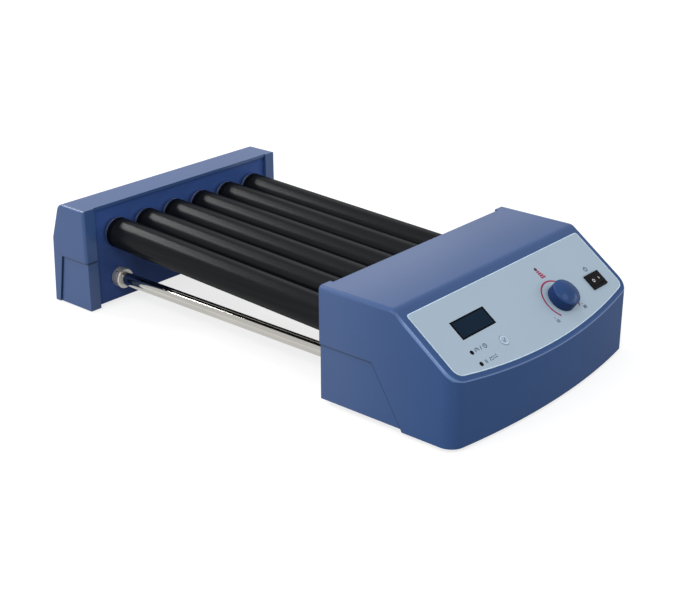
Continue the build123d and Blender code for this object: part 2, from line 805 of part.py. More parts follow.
def make_motor_screws():
    screws = []
    for x, z in motor_screw_places():
        head_end = motor_plate_face + case_screw_head_height
        screw = pin_y(x, z, board_screw_head_diameter, motor_plate_face, head_end)
        screw += pin_y(x, z, board_screw_diameter - 2 * screw_fit_gap, motor_plate_back - motor_screw_depth,
                       motor_plate_face)
        screws.append(screw)
    return Compound(screws)


# Tie rods

def make_tie_rods():
    rods = []
    for x in rod_xs:
        rod = pin_y(x, rod_height, rod_diameter, head_panel_face, tail_panel_face)
        rod += pin_y(x, rod_height, stud_diameter, head_plate_back - stud_projection, head_panel_face)
        rod += pin_y(x, rod_height, stud_diameter, tail_panel_face, tail_plate_back + stud_projection)
        rods.append(rod)
    return Compound(rods)


def rod_collar(x, face_y, toward):
    """Collar clamped on the rod against a bearing panel by a set screw."""
    end_y = face_y + toward * collar_length
    collar = pin_y(x, rod_height, collar_diameter, face_y, end_y)
    collar = chamfer(collar.edges().filter_by(GeomType.CIRCLE), collar_chamfer)
    collar -= hole_y(x, rod_height, rod_diameter + 2 * sleeve_fit_gap, face_y, end_y)
    hole = Cylinder(collar_screw_diameter / 2, collar_diameter, align=(Align.CENTER, Align.CENTER, Align.MIN))
    return collar - collar_screw_place(x, (face_y + end_y) / 2) * hole


def collar_screw_place(x, y):
    """Frame on a rod's axis with Z pointing out along its set screw, up and to the machine's outside."""
    lean = collar_screw_lean if x > 0 else -collar_screw_lean
    return Pos(x, y, rod_height) * Rot(0, lean, 0)


def collar_places():
    """Rod, panel face and direction for each of the four collars."""
    return [(x, face, toward) for face, toward in ((head_panel_face, 1), (tail_panel_face, -1)) for x in rod_xs]


def make_rod_collars():
    return Compound([rod_collar(x, face, toward) for x, face, toward in collar_places()])


def make_collar_screws():
    """Set screws with a hexagon socket, from the rod's surface to just under the collar's."""
    bottom = rod_diameter / 2 + sleeve_fit_gap
    length = collar_diameter / 2 - collar_screw_sink - bottom
    screw = Cylinder(collar_screw_diameter / 2 - screw_fit_gap, length,
                     align=(Align.CENTER, Align.CENTER, Align.MIN))
    socket = extrude(RegularPolygon(collar_screw_socket / 2, 6, major_radius=False), length)
    screw -= Pos(0, 0, length / 2) * socket
    screws = []
    for x, face, toward in collar_places():
        place = collar_screw_place(x, face + toward * collar_length / 2)
        screws.append(place * Pos(0, 0, bottom) * screw)
    return Compound(screws)


def rod_nut(x, y0, toward):
    """Hexagon nut on a rod's stud behind a bearing plate."""
    plane = Plane(origin=(x, y0, rod_height), x_dir=(1, 0, 0), z_dir=(0, toward, 0))
    nut = extrude(plane * RegularPolygon(rod_nut_width / 2, 6, major_radius=False), rod_nut_height)
    return nut - hole_y(x, rod_height, stud_diameter + 2 * sleeve_fit_gap, y0, y0 + toward * rod_nut_height)


def make_rod_nuts():
    head = [rod_nut(x, head_plate_back, -1) for x in rod_xs]
    tail = [rod_nut(x, tail_plate_back, 1) for x in rod_xs]
    return Compound(head + tail)


# End block

def tail_points(inset=0.0, bottom=tail_rim_z):
    """Side outline of the end block as (y, z) points, inset on all sides but the bottom."""
    top = tail_height - inset
    top_y = tail_front + tail_top_depth
    waist_y = tail_front + tail_waist_depth
    upper_lean = atan2(waist_y - top_y, tail_height - tail_waist_height)
    lower_lean = atan2(tail_back - waist_y, tail_waist_height - tail_rim_z)
    top_back = top_y + inset * tan(upper_lean) - inset / cos(upper_lean)
    waist_back = waist_y - inset / cos((upper_lean + lower_lean) / 2)
    foot_back = tail_back - inset / cos(lower_lean) + (tail_rim_z - bottom) * tan(lower_lean)
    return [(tail_front, bottom), (tail_front, top), (top_back, top), (waist_back, tail_waist_height),
            (foot_back, bottom)]


def tail_outer():
    """Outside of the end block with its back corners and outer edges rounded."""
    body = side_profile(tail_points())
    body = fillet(nearest_cross_edge(body, tail_front + tail_top_depth, tail_height), tail_top_radius)
    body = fillet(nearest_cross_edge(body, tail_back, tail_waist_height), tail_waist_radius)
    end_edges = [edge for edge in body.edges() if is_tail_end_edge(edge)]
    return fillet(end_edges, tail_edge_radius)


def is_tail_end_edge(edge):
    """True for the outline edges of the end block's two end faces, its foot left out."""
    start, middle, end = edge @ 0, edge @ 0.5, edge @ 1
    at_end = same_place(abs(start.X), half_width) and same_place(start.X, end.X)
    return at_end and middle.Z > tail_rim_z + edge_tolerance


def tail_seam_region(grow, bottom):
    """Lower front part of the end block's sides, which belongs to the base, grown by a gap."""
    lean = (tail_seam_foot - tail_seam_depth) / tail_seam_height
    slant = grow * hypot(1, lean)
    top = tail_seam_height + grow
    knee = tail_front + tail_seam_depth + slant
    foot = knee + (tail_seam_height - bottom) * lean
    ahead = tail_front - cut_past
    return side_profile([(ahead, bottom), (foot, bottom), (knee, top), (ahead, top)], body_width)


def tail_cavity(extra=0.0):
    """Inside of the end block behind its rims."""
    inset = shell_wall + extra
    inner = side_profile(tail_points(inset, tail_rim_z - cut_past), half_width - inset)
    face = tail_front + tail_panel_recess
    return inner & block(-body_width, body_width, face, tail_back, -tail_height, tail_height)


def tail_shell():
    """Hollow outside of the end block before it is parted into cover and base."""
    shell = tail_outer() - tail_cavity()
    return shell - panel_window(tail_lip_setback, tail_panel_recess, tail_height, tail_front, 1)


def make_tail_cover():
    shell = tail_shell() - tail_seam_region(seam_gap, tail_rim_z - cut_past)
    inside = side_profile(tail_points(shell_wall / 2), half_width - shell_wall / 2)
    for x, y in tail_posts:
        shell += case_post(x, y, tail_floor_top + seat_gap, tail_height, inside)
    return shell


def make_tail_base():
    cheek_region = tail_seam_region(0, tail_rim_z - cut_past)
    slab = block(-half_width, half_width, tail_plate_face, tail_back, tail_floor_z, tail_floor_top)
    into_cheeks = side_profile(tail_points(), half_width - shell_wall / 2)
    base = (tail_shell() & cheek_region) + (slab & cheek_region & into_cheeks) + (slab & tail_cavity(seam_gap))
    for x, y in tail_posts:
        base -= case_screw_hole(x, y, tail_floor_z, tail_floor_top)
    plate_y = (tail_plate_face + tail_plate_back) / 2
    for x in plate_screw_xs:
        base -= case_screw_hole(x, plate_y, tail_floor_z, tail_floor_top)
    return set_sides_back(base)


# Fasteners and feet

def case_screw(x, y, bottom):
    """Slotted pan head screw driven up into a post or a plate's edge."""
    head_top = bottom + case_screw_head_height
    screw = pin_z(x, y, case_screw_head_diameter, bottom, head_top)
    screw += pin_z(x, y, case_screw_diameter - screw_fit_gap, head_top, bottom + case_screw_length)
    reach = case_screw_head_diameter
    half_slot = screw_slot_width / 2
    return screw - block(x - reach, x + reach, y - half_slot, y + half_slot, bottom - cut_past,
                         bottom + screw_slot_depth)


def make_case_screws():
    """Screws of both floors: those in the covers' posts and those in the bearing plates."""
    head_y = (head_plate_face + head_plate_back) / 2
    tail_y = (tail_plate_face + tail_plate_back) / 2
    head_places = head_posts + [(x, head_y) for x in plate_screw_xs]
    tail_places = tail_posts + [(x, tail_y) for x in plate_screw_xs]
    head = [case_screw(x, y, head_floor_z) for x, y in head_places]
    tail = [case_screw(x, y, tail_floor_z) for x, y in tail_places]
    return Compound(head + tail)


def foot(x, y, top):
    """Round rubber foot, narrower where it meets the bench."""
    return Pos(x, y, 0) * Cone(foot_diameter / 2 - foot_taper, foot_diameter / 2, top,
                               align=(Align.CENTER, Align.CENTER, Align.MIN))


def make_head_feet():
    half = half_width - head_foot_from_side
    rows = (head_rear - head_rear_foot_row, head_rear - head_front_foot_row)
    return Compound([foot(x, y, head_floor_z) for x in (-half, half) for y in rows])


def make_tail_feet():
    half = half_width - tail_foot_from_side
    return Compound([foot(x, tail_front + tail_foot_depth, tail_floor_z) for x in (-half, half)])


# Control panel pieces

def make_panel_overlay():
    film = slope_plane(depth=overlay_recess) * extrude(overlay_outline(), overlay_thickness)
    film -= slope_slot(window_x, window_s, window_width + seat_gap, window_height + seat_gap)
    film -= slope_hole(knob_x, knob_s, pot_bushing_diameter + 2 * pot_hole_gap)
    film -= slope_hole(button_x, button_s, button_diameter + 2 * button_gap)
    for s in indicator_rows:
        film -= slope_hole(indicator_x, s, indicator_diameter + seat_gap)
    return film - slope_slot(switch_x, switch_s, switch_bezel_length + 2 * seat_gap,
                             switch_bezel_width + 2 * seat_gap)


def make_display_window():
    return slope_box(window_x, window_s, window_width, window_height, overlay_recess, -overlay_top)


def make_display_module():
    """Display in its frame on the board, close under the window."""
    width = window_width + 2 * display_border
    height = window_height + 2 * display_border
    top = shell_wall + seat_gap
    module = slope_box(window_x, window_s, width, height, top, board_offset)
    return module - slope_box(window_x, window_s, window_width, window_height, top - cut_past,
                              top + display_screen_depth)


def make_control_board():
    """Board under the slope with its chips, connectors, capacitors and indicator lamps."""
    width = board_right - board_left
    height = board_bottom_s - board_top_s
    under = board_offset + board_thickness
    board = slope_box((board_left + board_right) / 2, board_mid_s, width, height, board_offset, under)
    for x in board_xs:
        for s in board_rows:
            board -= slope_pin(x, s, board_screw_diameter + 2 * screw_fit_gap, board_offset - cut_past,
                               under + cut_past)
    for x, s, chip_width, chip_height, thickness in board_chips:
        board += slope_box(board_left + x, s, chip_width, chip_height, under, under + thickness)
    for x, s in capacitor_places:
        board += slope_pin(board_left + x, s, capacitor_diameter, under, under + capacitor_height)
    for s in indicator_rows:
        board += slope_pin(indicator_x, s, lamp_diameter, indicator_length + button_gap, board_offset)
    return board


def make_board_screws():
    under = board_offset + board_thickness
    tip = board_offset - board_pilot_depth + board_screw_tip_gap
    screws = []
    for x in board_xs:
        for s in board_rows:
            screw = slope_pin(x, s, board_screw_head_diameter, under, under + case_screw_head_height)
            screws.append(screw + slope_pin(x, s, board_screw_diameter - 2 * screw_fit_gap, tip, under))
    return Compound(screws)


def make_indicator_lenses():
    lenses = []
    for s in indicator_rows:
        lens = slope_pin(indicator_x, s, indicator_diameter, -overlay_top, indicator_length)
        flange_diameter = indicator_diameter + 2 * indicator_flange
        lens += slope_pin(indicator_x, s, flange_diameter, shell_wall, shell_wall + indicator_flange)
        lenses.append(lens)
    return Compound(lenses)


def make_potentiometer():
    body_top = board_offset - pot_body_height
    pot = slope_pin(knob_x, knob_s, pot_body_diameter, body_top, board_offset)
    pot += slope_pin(knob_x, knob_s, pot_bushing_diameter, -overlay_top, body_top)
    bore = pot_shaft_diameter + 2 * journal_clearance
    return pot - slope_pin(knob_x, knob_s, bore, -overlay_top - cut_past, board_offset - pot_base_thickness)


def make_speed_shaft():
    top = -(overlay_top + knob_skirt_gap + knob_socket_depth)
    bottom = board_offset - pot_base_thickness - pot_shaft_end_gap
    return slope_pin(knob_x, knob_s, pot_shaft_diameter, top, bottom)


def make_speed_knob():
    """Domed knob, hollow below, on a socket that takes the shaft."""
    radius = knob_diameter / 2
    inner = radius - knob_shell
    shoulder_top = knob_height - knob_dome_rise
    shoulder_base = shoulder_top - knob_edge_radius
    dome_edge = radius - knob_edge_radius
    shoulder_inset = knob_edge_radius * (1 - sin(radians(45)))
    dome_radius = (dome_edge**2 + knob_dome_rise**2) / (2 * knob_dome_rise)
    halfway_drop = dome_radius - sqrt(dome_radius**2 - (dome_edge / 2)**2)
    dome = ThreePointArc((0, knob_height), (dome_edge / 2, knob_height - halfway_drop), (dome_edge, shoulder_top))
    shoulder = ThreePointArc((dome_edge, shoulder_top), (radius - shoulder_inset, shoulder_top - shoulder_inset),
                             (radius, shoulder_base))
    roof = shoulder_top - knob_shell
    rest = Polyline((radius, shoulder_base), (radius, 0), (inner, 0), (inner, roof), (0, roof), (0, knob_height))
    shell = revolve(Plane.XZ * make_face(dome + shoulder + rest), Axis.Z)
    up = (Align.CENTER, Align.CENTER, Align.MIN)
    socket = Cylinder(knob_socket_diameter / 2, roof + knob_shell / 2, align=up)
    bore = Cylinder(pot_shaft_diameter / 2 + bearing_fit_gap, knob_socket_depth, align=up)
    return slope_plane(knob_x, knob_s, -(overlay_top + knob_skirt_gap)) * (shell + socket - bore)


def make_set_button():
    """Round key with a flange below the shell and a stem that reaches for its switch."""
    flange_top = shell_wall + button_gap
    flange_end = flange_top + button_flange_thickness
    cap = slope_pin(button_x, button_s, button_diameter, -(overlay_top + button_proud), flange_end)
    cap = fillet(cap.edges().sort_by(Axis.Z)[-1], button_proud / 2)
    cap += slope_pin(button_x, button_s, button_diameter + 2 * button_flange, flange_top, flange_end)
    stem_end = board_offset - tact_height - button_travel - button_gap
    return cap + slope_pin(button_x, button_s, button_stem_diameter, flange_top, stem_end)


def make_set_switch():
    top = board_offset - tact_height
    body = slope_box(button_x, button_s, tact_size, tact_size, top + tact_plunger_height, board_offset)
    return body + slope_pin(button_x, button_s, tact_plunger_diameter, top, top + tact_plunger_height)


def make_power_switch_body():
    """Rocker switch housing: bezel on the slope, body through the shell, two blade terminals."""
    body = slope_box(switch_x, switch_s, switch_bezel_length, switch_bezel_width, -switch_bezel_height,
                     overlay_recess)
    body += slope_box(switch_x, switch_s, switch_body_length, switch_body_width, 0, switch_body_depth)
    body -= slope_box(switch_x, switch_s, switch_body_length - 2 * switch_wall, switch_body_width - 2 * switch_wall,
                      -switch_bezel_height - cut_past, switch_body_depth - switch_floor)
    for side in (-1, 1):
        s = switch_s + side * (switch_body_width / 2 - switch_wall)
        hole = Cylinder(trunnion_diameter / 2 + trunnion_clearance, 2 * (trunnion_length + trunnion_end_gap))
        body -= slope_plane(switch_x, s, rocker_pivot_depth) * Rot(90, 0, 0) * hole
        body += slope_box(switch_x + side * terminal_spacing / 2, switch_s, terminal_thickness, terminal_width,
                          switch_body_depth - switch_floor, switch_body_depth + terminal_length)
    return body


def make_power_rocker():
    """Rocker paddle: two flat faces in a shallow V, on trunnions, tipped to its off side."""
    half = switch_body_length / 2 - switch_wall - rocker_gap
    width = switch_body_width - 2 * switch_wall - 2 * rocker_gap
    end_rise = rocker_valley_rise + half * tan(radians(rocker_tilt))
    right_side = [(half - rocker_lip, end_rise), (half - rocker_toe, 0), (half - rocker_toe, -rocker_keel_depth / 2)]
    left_side = [(-x, rise) for x, rise in reversed(right_side)]
    outline = [(0, rocker_valley_rise)] + right_side + [(0, -rocker_keel_depth)] + left_side
    plane = Plane(origin=(0, width / 2, 0), x_dir=(1, 0, 0), z_dir=(0, -1, 0))
    paddle = extrude(plane * make_face(Polyline(*outline, close=True)), width)
    length = width + 2 * (rocker_gap + trunnion_length)
    paddle += Rot(90, 0, 0) * Cylinder(trunnion_diameter / 2, length)
    return slope_plane(switch_x, switch_s, rocker_pivot_depth) * Rot(0, -rocker_tilt, 0) * paddle


def make_dc_inlet():
    """Low voltage supply socket, flush in the head's right side, held by a nut from inside."""
    total = shell_wall + inlet_body_length
    down = (Align.CENTER, Align.CENTER, Align.MAX)
    inlet = Cylinder(inlet_diameter / 2, total, align=down)
    inlet += Cylinder(inlet_flange_diameter / 2, inlet_flange_thickness, align=down)
    inlet -= Cylinder(inlet_socket_diameter / 2, inlet_socket_depth, align=down)
    contact = Cylinder(inlet_contact_diameter / 2, inlet_socket_depth, align=down)
    inlet += Pos(0, 0, -inlet_contact_sink) * contact
    for side in (-1, 1):
        tab = Box(terminal_thickness, terminal_width / 2, terminal_length / 2, align=down)
        inlet += Pos(side * inlet_diameter / 4, 0, terminal_thickness - total) * tab
    nut = extrude(RegularPolygon(inlet_nut_width / 2, 6, major_radius=False), -inlet_nut_height)
    nut = Pos(0, 0, -shell_wall - screw_fit_gap) * nut
    nut -= Cylinder(inlet_diameter / 2 + sleeve_fit_gap, total, align=down)
    return inlet_place() * Compound([inlet, nut])


# All nodes

def build_nodes():
    roller_phases, idler_phases, pinion_phase = train_phases()
    nodes = {
        "head_cover": make_head_cover(),
        "head_base": make_head_base(),
        "head_panel": make_panel(head_panel_face, -1, head_floor_z, head_height - shell_wall - seat_gap),
        "head_bearing_plate": make_head_bearing_plate(),
        "head_bearings": make_bearings(head_plate_face, -1),
        "tail_cover": make_tail_cover(),
        "tail_base": make_tail_base(),
        "tail_panel": make_panel(tail_panel_face, 1, tail_floor_z, tail_height - shell_wall - seat_gap),
        "tail_bearing_plate": make_bearing_plate(tail_plate_face, 1, tail_floor_top, tail_height - plate_top_margin),
        "tail_bearings": make_bearings(tail_plate_face, 1),
        "tie_rods": make_tie_rods(),
        "rod_collars": make_rod_collars(),
        "rod_nuts": make_rod_nuts(),
        "idler_pins": make_idler_pins(),
        "motor_pinion": make_motor_pinion(pinion_phase),
        "gearmotor": make_gearmotor(),
        "motor_plate": make_motor_plate(),
        "plate_standoffs": make_standoffs(),
        "motor_screws": make_motor_screws(),
        "panel_overlay": make_panel_overlay(),
        "display_window": make_display_window(),
        "display_module": make_display_module(),
        "control_board": make_control_board(),
        "board_screws": make_board_screws(),
        "indicator_lenses": make_indicator_lenses(),
        "speed_potentiometer": make_potentiometer(),
        "speed_shaft": make_speed_shaft(),
        "speed_knob": make_speed_knob(),
        "set_button": make_set_button(),
        "set_switch": make_set_switch(),
        "power_switch_body": make_power_switch_body(),
        "power_rocker": make_power_rocker(),
        "dc_inlet": make_dc_inlet(),
        "case_screws": make_case_screws(),
        "collar_screws": make_collar_screws(),
        "head_feet": make_head_feet(),
        "tail_feet": make_tail_feet(),
    }
    for index, x in enumerate(roller_xs):
        name = f"roller_{index + 1}"
        nodes[f"{name}_sleeve"] = make_roller_sleeve(x)
        nodes[f"{name}_core"] = make_roller_core(x)
        nodes[f"{name}_gear"] = gear(roller_gear_teeth, x, roller_axis_height, roller_phases[index], journal_diameter)
    for index, x in enumerate(idler_xs):
        bore = idler_pin_diameter + 2 * journal_clearance
        nodes[f"idler_gear_{index + 1}"] = gear(idler_teeth, x, idler_height, idler_phases[index], bore)
    return nodes


def main():
    os.makedirs("parts", exist_ok=True)
    for name, solid in build_nodes().items():
        export_step(solid, f"parts/{name}.step")
    print("overall length", overall_length)
    print("tilt of the rollers in degrees", degrees(atan2(2 * rock_offset, roller_last - roller_first)))


main()
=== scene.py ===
"""Roller mixer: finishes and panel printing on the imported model, with a studio and a camera."""

import json
import logging
import math
from dataclasses import dataclass, field
from enum import Enum
from typing import Iterable, Sequence

import bmesh
import bpy
from mathutils import Matrix, Vector


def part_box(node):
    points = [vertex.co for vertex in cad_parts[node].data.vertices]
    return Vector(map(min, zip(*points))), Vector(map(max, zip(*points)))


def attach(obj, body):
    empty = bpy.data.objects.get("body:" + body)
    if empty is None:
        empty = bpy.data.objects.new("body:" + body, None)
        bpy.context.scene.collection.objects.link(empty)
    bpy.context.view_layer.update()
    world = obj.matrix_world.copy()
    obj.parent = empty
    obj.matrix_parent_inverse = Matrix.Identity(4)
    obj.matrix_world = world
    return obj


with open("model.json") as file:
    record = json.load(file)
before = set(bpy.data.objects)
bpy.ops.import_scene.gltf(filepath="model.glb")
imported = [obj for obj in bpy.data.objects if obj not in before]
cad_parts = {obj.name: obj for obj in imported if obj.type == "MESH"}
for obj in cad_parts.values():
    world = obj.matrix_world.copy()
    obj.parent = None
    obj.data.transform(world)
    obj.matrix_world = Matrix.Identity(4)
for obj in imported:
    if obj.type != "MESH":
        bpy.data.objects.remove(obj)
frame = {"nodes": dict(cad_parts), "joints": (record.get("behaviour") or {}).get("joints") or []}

LOG = logging.getLogger("roller_mixer")
MM = 0.001
NEAR = 0.1 * MM
ROLLER_COUNT = 6

Rgb = tuple[float, float, float]
Point2 = tuple[float, float]
Point3 = tuple[float, float, float]
Span = tuple[float, float]
Socket = bpy.types.NodeSocket
Material = bpy.types.Material


class Body(str, Enum):
    """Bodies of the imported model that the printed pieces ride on."""

    HOUSING = "housing"
    KEY = "set_key"
    ROCKER = "power_switch"


class Ends(Enum):
    """Whether a printed line stops at its last point or runs back to its first."""

    OPEN = False
    CLOSED = True


def linked(name: str, data: bpy.types.ID) -> bpy.types.Object:
    """Makes an object of some data and links it to the scene.

    Args:
        name: name of the object.
        data: its mesh, curve, lamp or camera.

    Returns:
        The object.
    """
    made = bpy.data.objects.new(name, data)
    bpy.context.scene.collection.objects.link(made)
    return made


def aimed(place: Point3, target: Point3) -> Matrix:
    """Matrix that stands a lamp or a camera at a place and points it at a target."""
    aim = Vector(target) - Vector(place)
    return Matrix.Translation(place) @ aim.to_track_quat("-Z", "Y").to_matrix().to_4x4()


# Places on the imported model


def points(node: str) -> list[Vector]:
    """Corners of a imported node's mesh."""
    return [vertex.co.copy() for vertex in frame["nodes"][node].data.vertices]


def middle(node: str) -> Vector:
    """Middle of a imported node's box."""
    low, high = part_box(node)
    return (low + high) / 2


@dataclass(frozen=True)
class SlopeFace:
    """Sloping control face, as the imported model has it.

    Attributes:
        knob: centre of the speed control.
        up: direction up the slope.
        out: direction square out of the slope.
        film_face: height of the film's face along the outward direction.
    """

    knob: Vector
    up: Vector
    out: Vector
    film_face: float

    @classmethod
    def measured(cls) -> "SlopeFace":
        """Reads the face from the speed control's joint and the film.

        Returns:
            The face.
        """
        joint = next(j for j in frame["joints"] if j["name"] == "speed_turn")
        out = -Vector(joint["axis"]).normalized()
        film_face = max(p.dot(out) for p in points("panel_overlay"))
        return cls(Vector(joint["pos_m"]), out.cross(Vector((1, 0, 0))), out, film_face)

    @property
    def lean(self) -> float:
        """Angle of the slope from the level, in radians."""
        return math.atan2(self.up.z, self.up.y)

    def heights(self, node: str) -> list[float]:
        """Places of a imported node's corners along the outward direction."""
        return [p.dot(self.out) for p in points(node)]

    def rises(self, node: str) -> list[float]:
        """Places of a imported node's corners up the slope."""
        return [p.dot(self.up) for p in points(node)]

    def raised(self, spot: Vector, height: float) -> Vector:
        """A point carried straight out of the slope, or into it, to a height."""
        return spot + self.out * (height - spot.dot(self.out))

    def at(self, centre: Vector, lift: float = 0.0) -> Matrix:
        """Matrix that brings flat work to a lift above the film, with its origin over a centre."""
        rotation = Matrix((Vector((1, 0, 0)), self.up, self.out)).transposed()
        return Matrix.Translation(self.raised(centre, self.film_face + lift)) @ rotation.to_4x4()

    def spot(self, across: float, up: float) -> Vector:
        """Point of the face at a distance across and up from the knob's centre."""
        return self.knob + Vector((across, 0, 0)) + self.up * up

    def bare_spot(self) -> Vector:
        """Point of the casing under the film, on the knob's axis."""
        return self.raised(self.knob, min(self.heights("panel_overlay")))

    def shoulder(self, node: str, drop: float) -> Vector:
        """Point on the knob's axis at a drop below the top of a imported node."""
        return self.raised(self.knob, max(self.heights(node)) - drop)

    def centre(self, node: str) -> Vector:
        """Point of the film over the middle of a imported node."""
        up = sum(end(self.rises(node)) for end in (min, max)) / 2
        return Vector((middle(node).x, 0, 0)) + self.up * up + self.out * self.film_face

    def pair_centres(self, node: str) -> tuple[Vector, Vector]:
        """Film points over two round pieces that lie one above the other in one node.

        Args:
            node: name of the node.

        Returns:
            The upper and the lower point.
        """
        low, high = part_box(node)
        radius = (high.x - low.x) / 2
        rises = self.rises(node)
        offset = self.up * ((max(rises) - min(rises)) / 2 - radius)
        return self.centre(node) + offset, self.centre(node) - offset

    def tops(self, node: str, facing: float = 0.9) -> list[Matrix]:
        """Matrices onto the two largest flat faces that look outwards, the left one first.

        Args:
            node: name of the node.
            facing: how squarely a face has to look outwards, up to 1.

        Returns:
            One matrix for each face, from flat work about its middle.
        """
        found: dict[tuple[float, ...], tuple[float, Vector, Vector]] = {}
        for face in frame["nodes"][node].data.polygons:
            if face.normal.dot(self.out) > facing:
                key = tuple(round(c, 2) for c in face.normal)
                area, total, _ = found.get(key, (0.0, Vector(), face.normal))
                found[key] = (area + face.area, total + face.center * face.area, face.normal.copy())
        largest = sorted(found.values(), key=lambda entry: -entry[0])[:2]
        faces = sorted(((total / area, normal) for area, total, normal in largest), key=lambda f: f[0].x)
        turns = [Matrix((self.up.cross(normal), self.up, normal)).transposed() for _, normal in faces]
        return [Matrix.Translation(spot) @ turn.to_4x4() for (spot, _), turn in zip(faces, turns)]

    def outer_loop(self, node: str, weld: float = 0.001 * MM, facing: float = 0.99,
                   skin: float = 0.05 * MM) -> list[Point2]:
        """Outer edge of a flat node's top face, flat about the knob's centre.

        Args:
            node: name of the node.
            weld: distance within which its corners are one.
            facing: how squarely a face has to look outwards, up to 1.
            skin: depth below the film's face within which a face is part of the top.

        Returns:
            Its points in order.
        """
        mesh = bmesh.new()
        mesh.from_mesh(frame["nodes"][node].data)
        bmesh.ops.remove_doubles(mesh, verts=mesh.verts, dist=weld)
        top = {f for f in mesh.faces if f.normal.dot(self.out) > facing
               and f.calc_center_median().dot(self.out) > self.film_face - skin}
        steps: dict[bmesh.types.BMVert, list[bmesh.types.BMVert]] = {}
        for edge in mesh.edges:
            if sum(f in top for f in edge.link_faces) == 1:
                first, second = edge.verts
                steps.setdefault(first, []).append(second)
                steps.setdefault(second, []).append(first)
        start = min(steps, key=lambda v: v.co.x)
        loop, last, here = [start], start, steps[start][0]
        while here is not start:
            loop.append(here)
            last, here = here, next(v for v in steps[here] if v is not last)
        flat = [(v.co.x - self.knob.x, (v.co - self.knob).dot(self.up)) for v in loop]
        mesh.free()
        return flat


# Node trees


class NodeSketch:
    """Any node tree under construction."""

    def __init__(self, tree: bpy.types.NodeTree) -> None:
        """Takes up a tree."""
        self.tree = tree

    def add(self, kind: str, values: dict | None = None, **settings: object) -> bpy.types.Node:
        """Adds a node, sets its properties and fills its inputs.

        Args:
            kind: Blender's type name of the node.
            values: input name or number, to a constant or to a socket that feeds it.
            **settings: properties of the node itself.

        Returns:
            The new node.
        """
        node = self.tree.nodes.new(kind)
        for key, value in settings.items():
            setattr(node, key, value)
        for key, value in (values or {}).items():
            if isinstance(value, Socket):
                self.tree.links.new(value, node.inputs[key])
            else:
                node.inputs[key].default_value = value
        return node

    def maths(self, operation: str, *values: Socket | float) -> Socket:
        """One step of arithmetic, by Blender's name of it, on constants or sockets."""
        return self.add("ShaderNodeMath", dict(enumerate(values)), operation=operation).outputs[0]

    def ranged(self, value: Socket, start: float, end: float, low: float = 0.0, high: float = 1.0) -> Socket:
        """Carries a value, clamped, from the range of start to end over to the range of low to high."""
        values = {"Value": value, "From Min": start, "From Max": end, "To Min": low, "To Max": high}
        return self.add("ShaderNodeMapRange", values).outputs[0]


class ShaderTree(NodeSketch):
    """One node material under construction.

    Attributes:
        MIX_INPUTS: numbers of a Mix node's share, first colour and second colour.
        MIX_RESULT: number of its output for colours.
    """

    MIX_INPUTS = (0, 6, 7)
    MIX_RESULT = 2

    def __init__(self, name: str) -> None:
        """Starts an empty material.

        Args:
            name: name of the material.
        """
        self.material = bpy.data.materials.new(name)
        self.material.use_nodes = True
        super().__init__(self.material.node_tree)
        self.tree.nodes.clear()
        self.output = self.add("ShaderNodeOutputMaterial")

    def place(self, stretch: Point3 = (1.0, 1.0, 1.0), lean: float = 0.0,
              centre: Sequence[float] = (0.0, 0.0, 0.0)) -> Socket:
        """Object coordinates for a pattern.

        Args:
            stretch: how far the pattern is drawn out along each axis.
            lean: angle of the slope that the pattern lies square to, 0 for the model's own axes.
            centre: point of the model that becomes the pattern's origin.

        Returns:
            The mapped coordinates.
        """
        source = self.add("ShaderNodeTexCoord").outputs["Object"]
        shift = {"Vector": source, "Location": [-c for c in centre]}
        shifted = self.add("ShaderNodeMapping", shift).outputs[0]
        turn = {"Vector": shifted, "Rotation": [-lean, 0.0, 0.0], "Scale": [1 / amount for amount in stretch]}
        return self.add("ShaderNodeMapping", turn, vector_type="POINT").outputs[0]

    def axes(self, lean: float = 0.0, centre: Sequence[float] = (0.0, 0.0, 0.0)) -> tuple[Socket, ...]:
        """Object coordinates as three values, with lean and centre as in place."""
        return tuple(self.add("ShaderNodeSeparateXYZ", {0: self.place(lean=lean, centre=centre)}).outputs)

    def noise(self, where: Socket, size: float, detail: float = 3.0) -> Socket:
        """Cloudy noise from 0 to 1, with blotches of a size in metres and finer layers of detail in them."""
        values = {"Vector": where, "Scale": 1 / size, "Detail": detail}
        return self.add("ShaderNodeTexNoise", values).outputs["Fac"]

    def blend(self, share: Socket, first: Rgb | Socket, second: Rgb | Socket) -> Socket:
        """Mixes two colours.

        Args:
            share: how much of the second shows.
            first: colour at 0.
            second: colour at 1.

        Returns:
            The mixed colour.
        """
        colours = [c if isinstance(c, Socket) else (*c, 1.0) for c in (first, second)]
        values = dict(zip(self.MIX_INPUTS, (share, *colours)))
        return self.add("ShaderNodeMix", values, data_type="RGBA").outputs[self.MIX_RESULT]

    def bump(self, height: Socket, depth: float, under: Socket | None = None) -> Socket:
        """Relief on the surface.

        Args:
            height: value from 0 to 1.
            depth: full height in metres.
            under: relief that this one lies on.

        Returns:
            The bent normal.
        """
        values = {"Height": height, "Distance": depth, "Strength": 1.0}
        if under is not None:
            values["Normal"] = under
        return self.add("ShaderNodeBump", values).outputs[0]

    def finish(self, shader: bpy.types.Node) -> Material:
        """Joins the last shader to the output and returns the material."""
        self.tree.links.new(shader.outputs[0], self.output.inputs["Surface"])
        return self.material


# Finishes


@dataclass(frozen=True)
class Grain:
    """Fine relief of a surface: its width and depth in metres, and how far each axis draws it out."""

    size: float
    depth: float
    stretch: Point3 = (1.0, 1.0, 1.0)


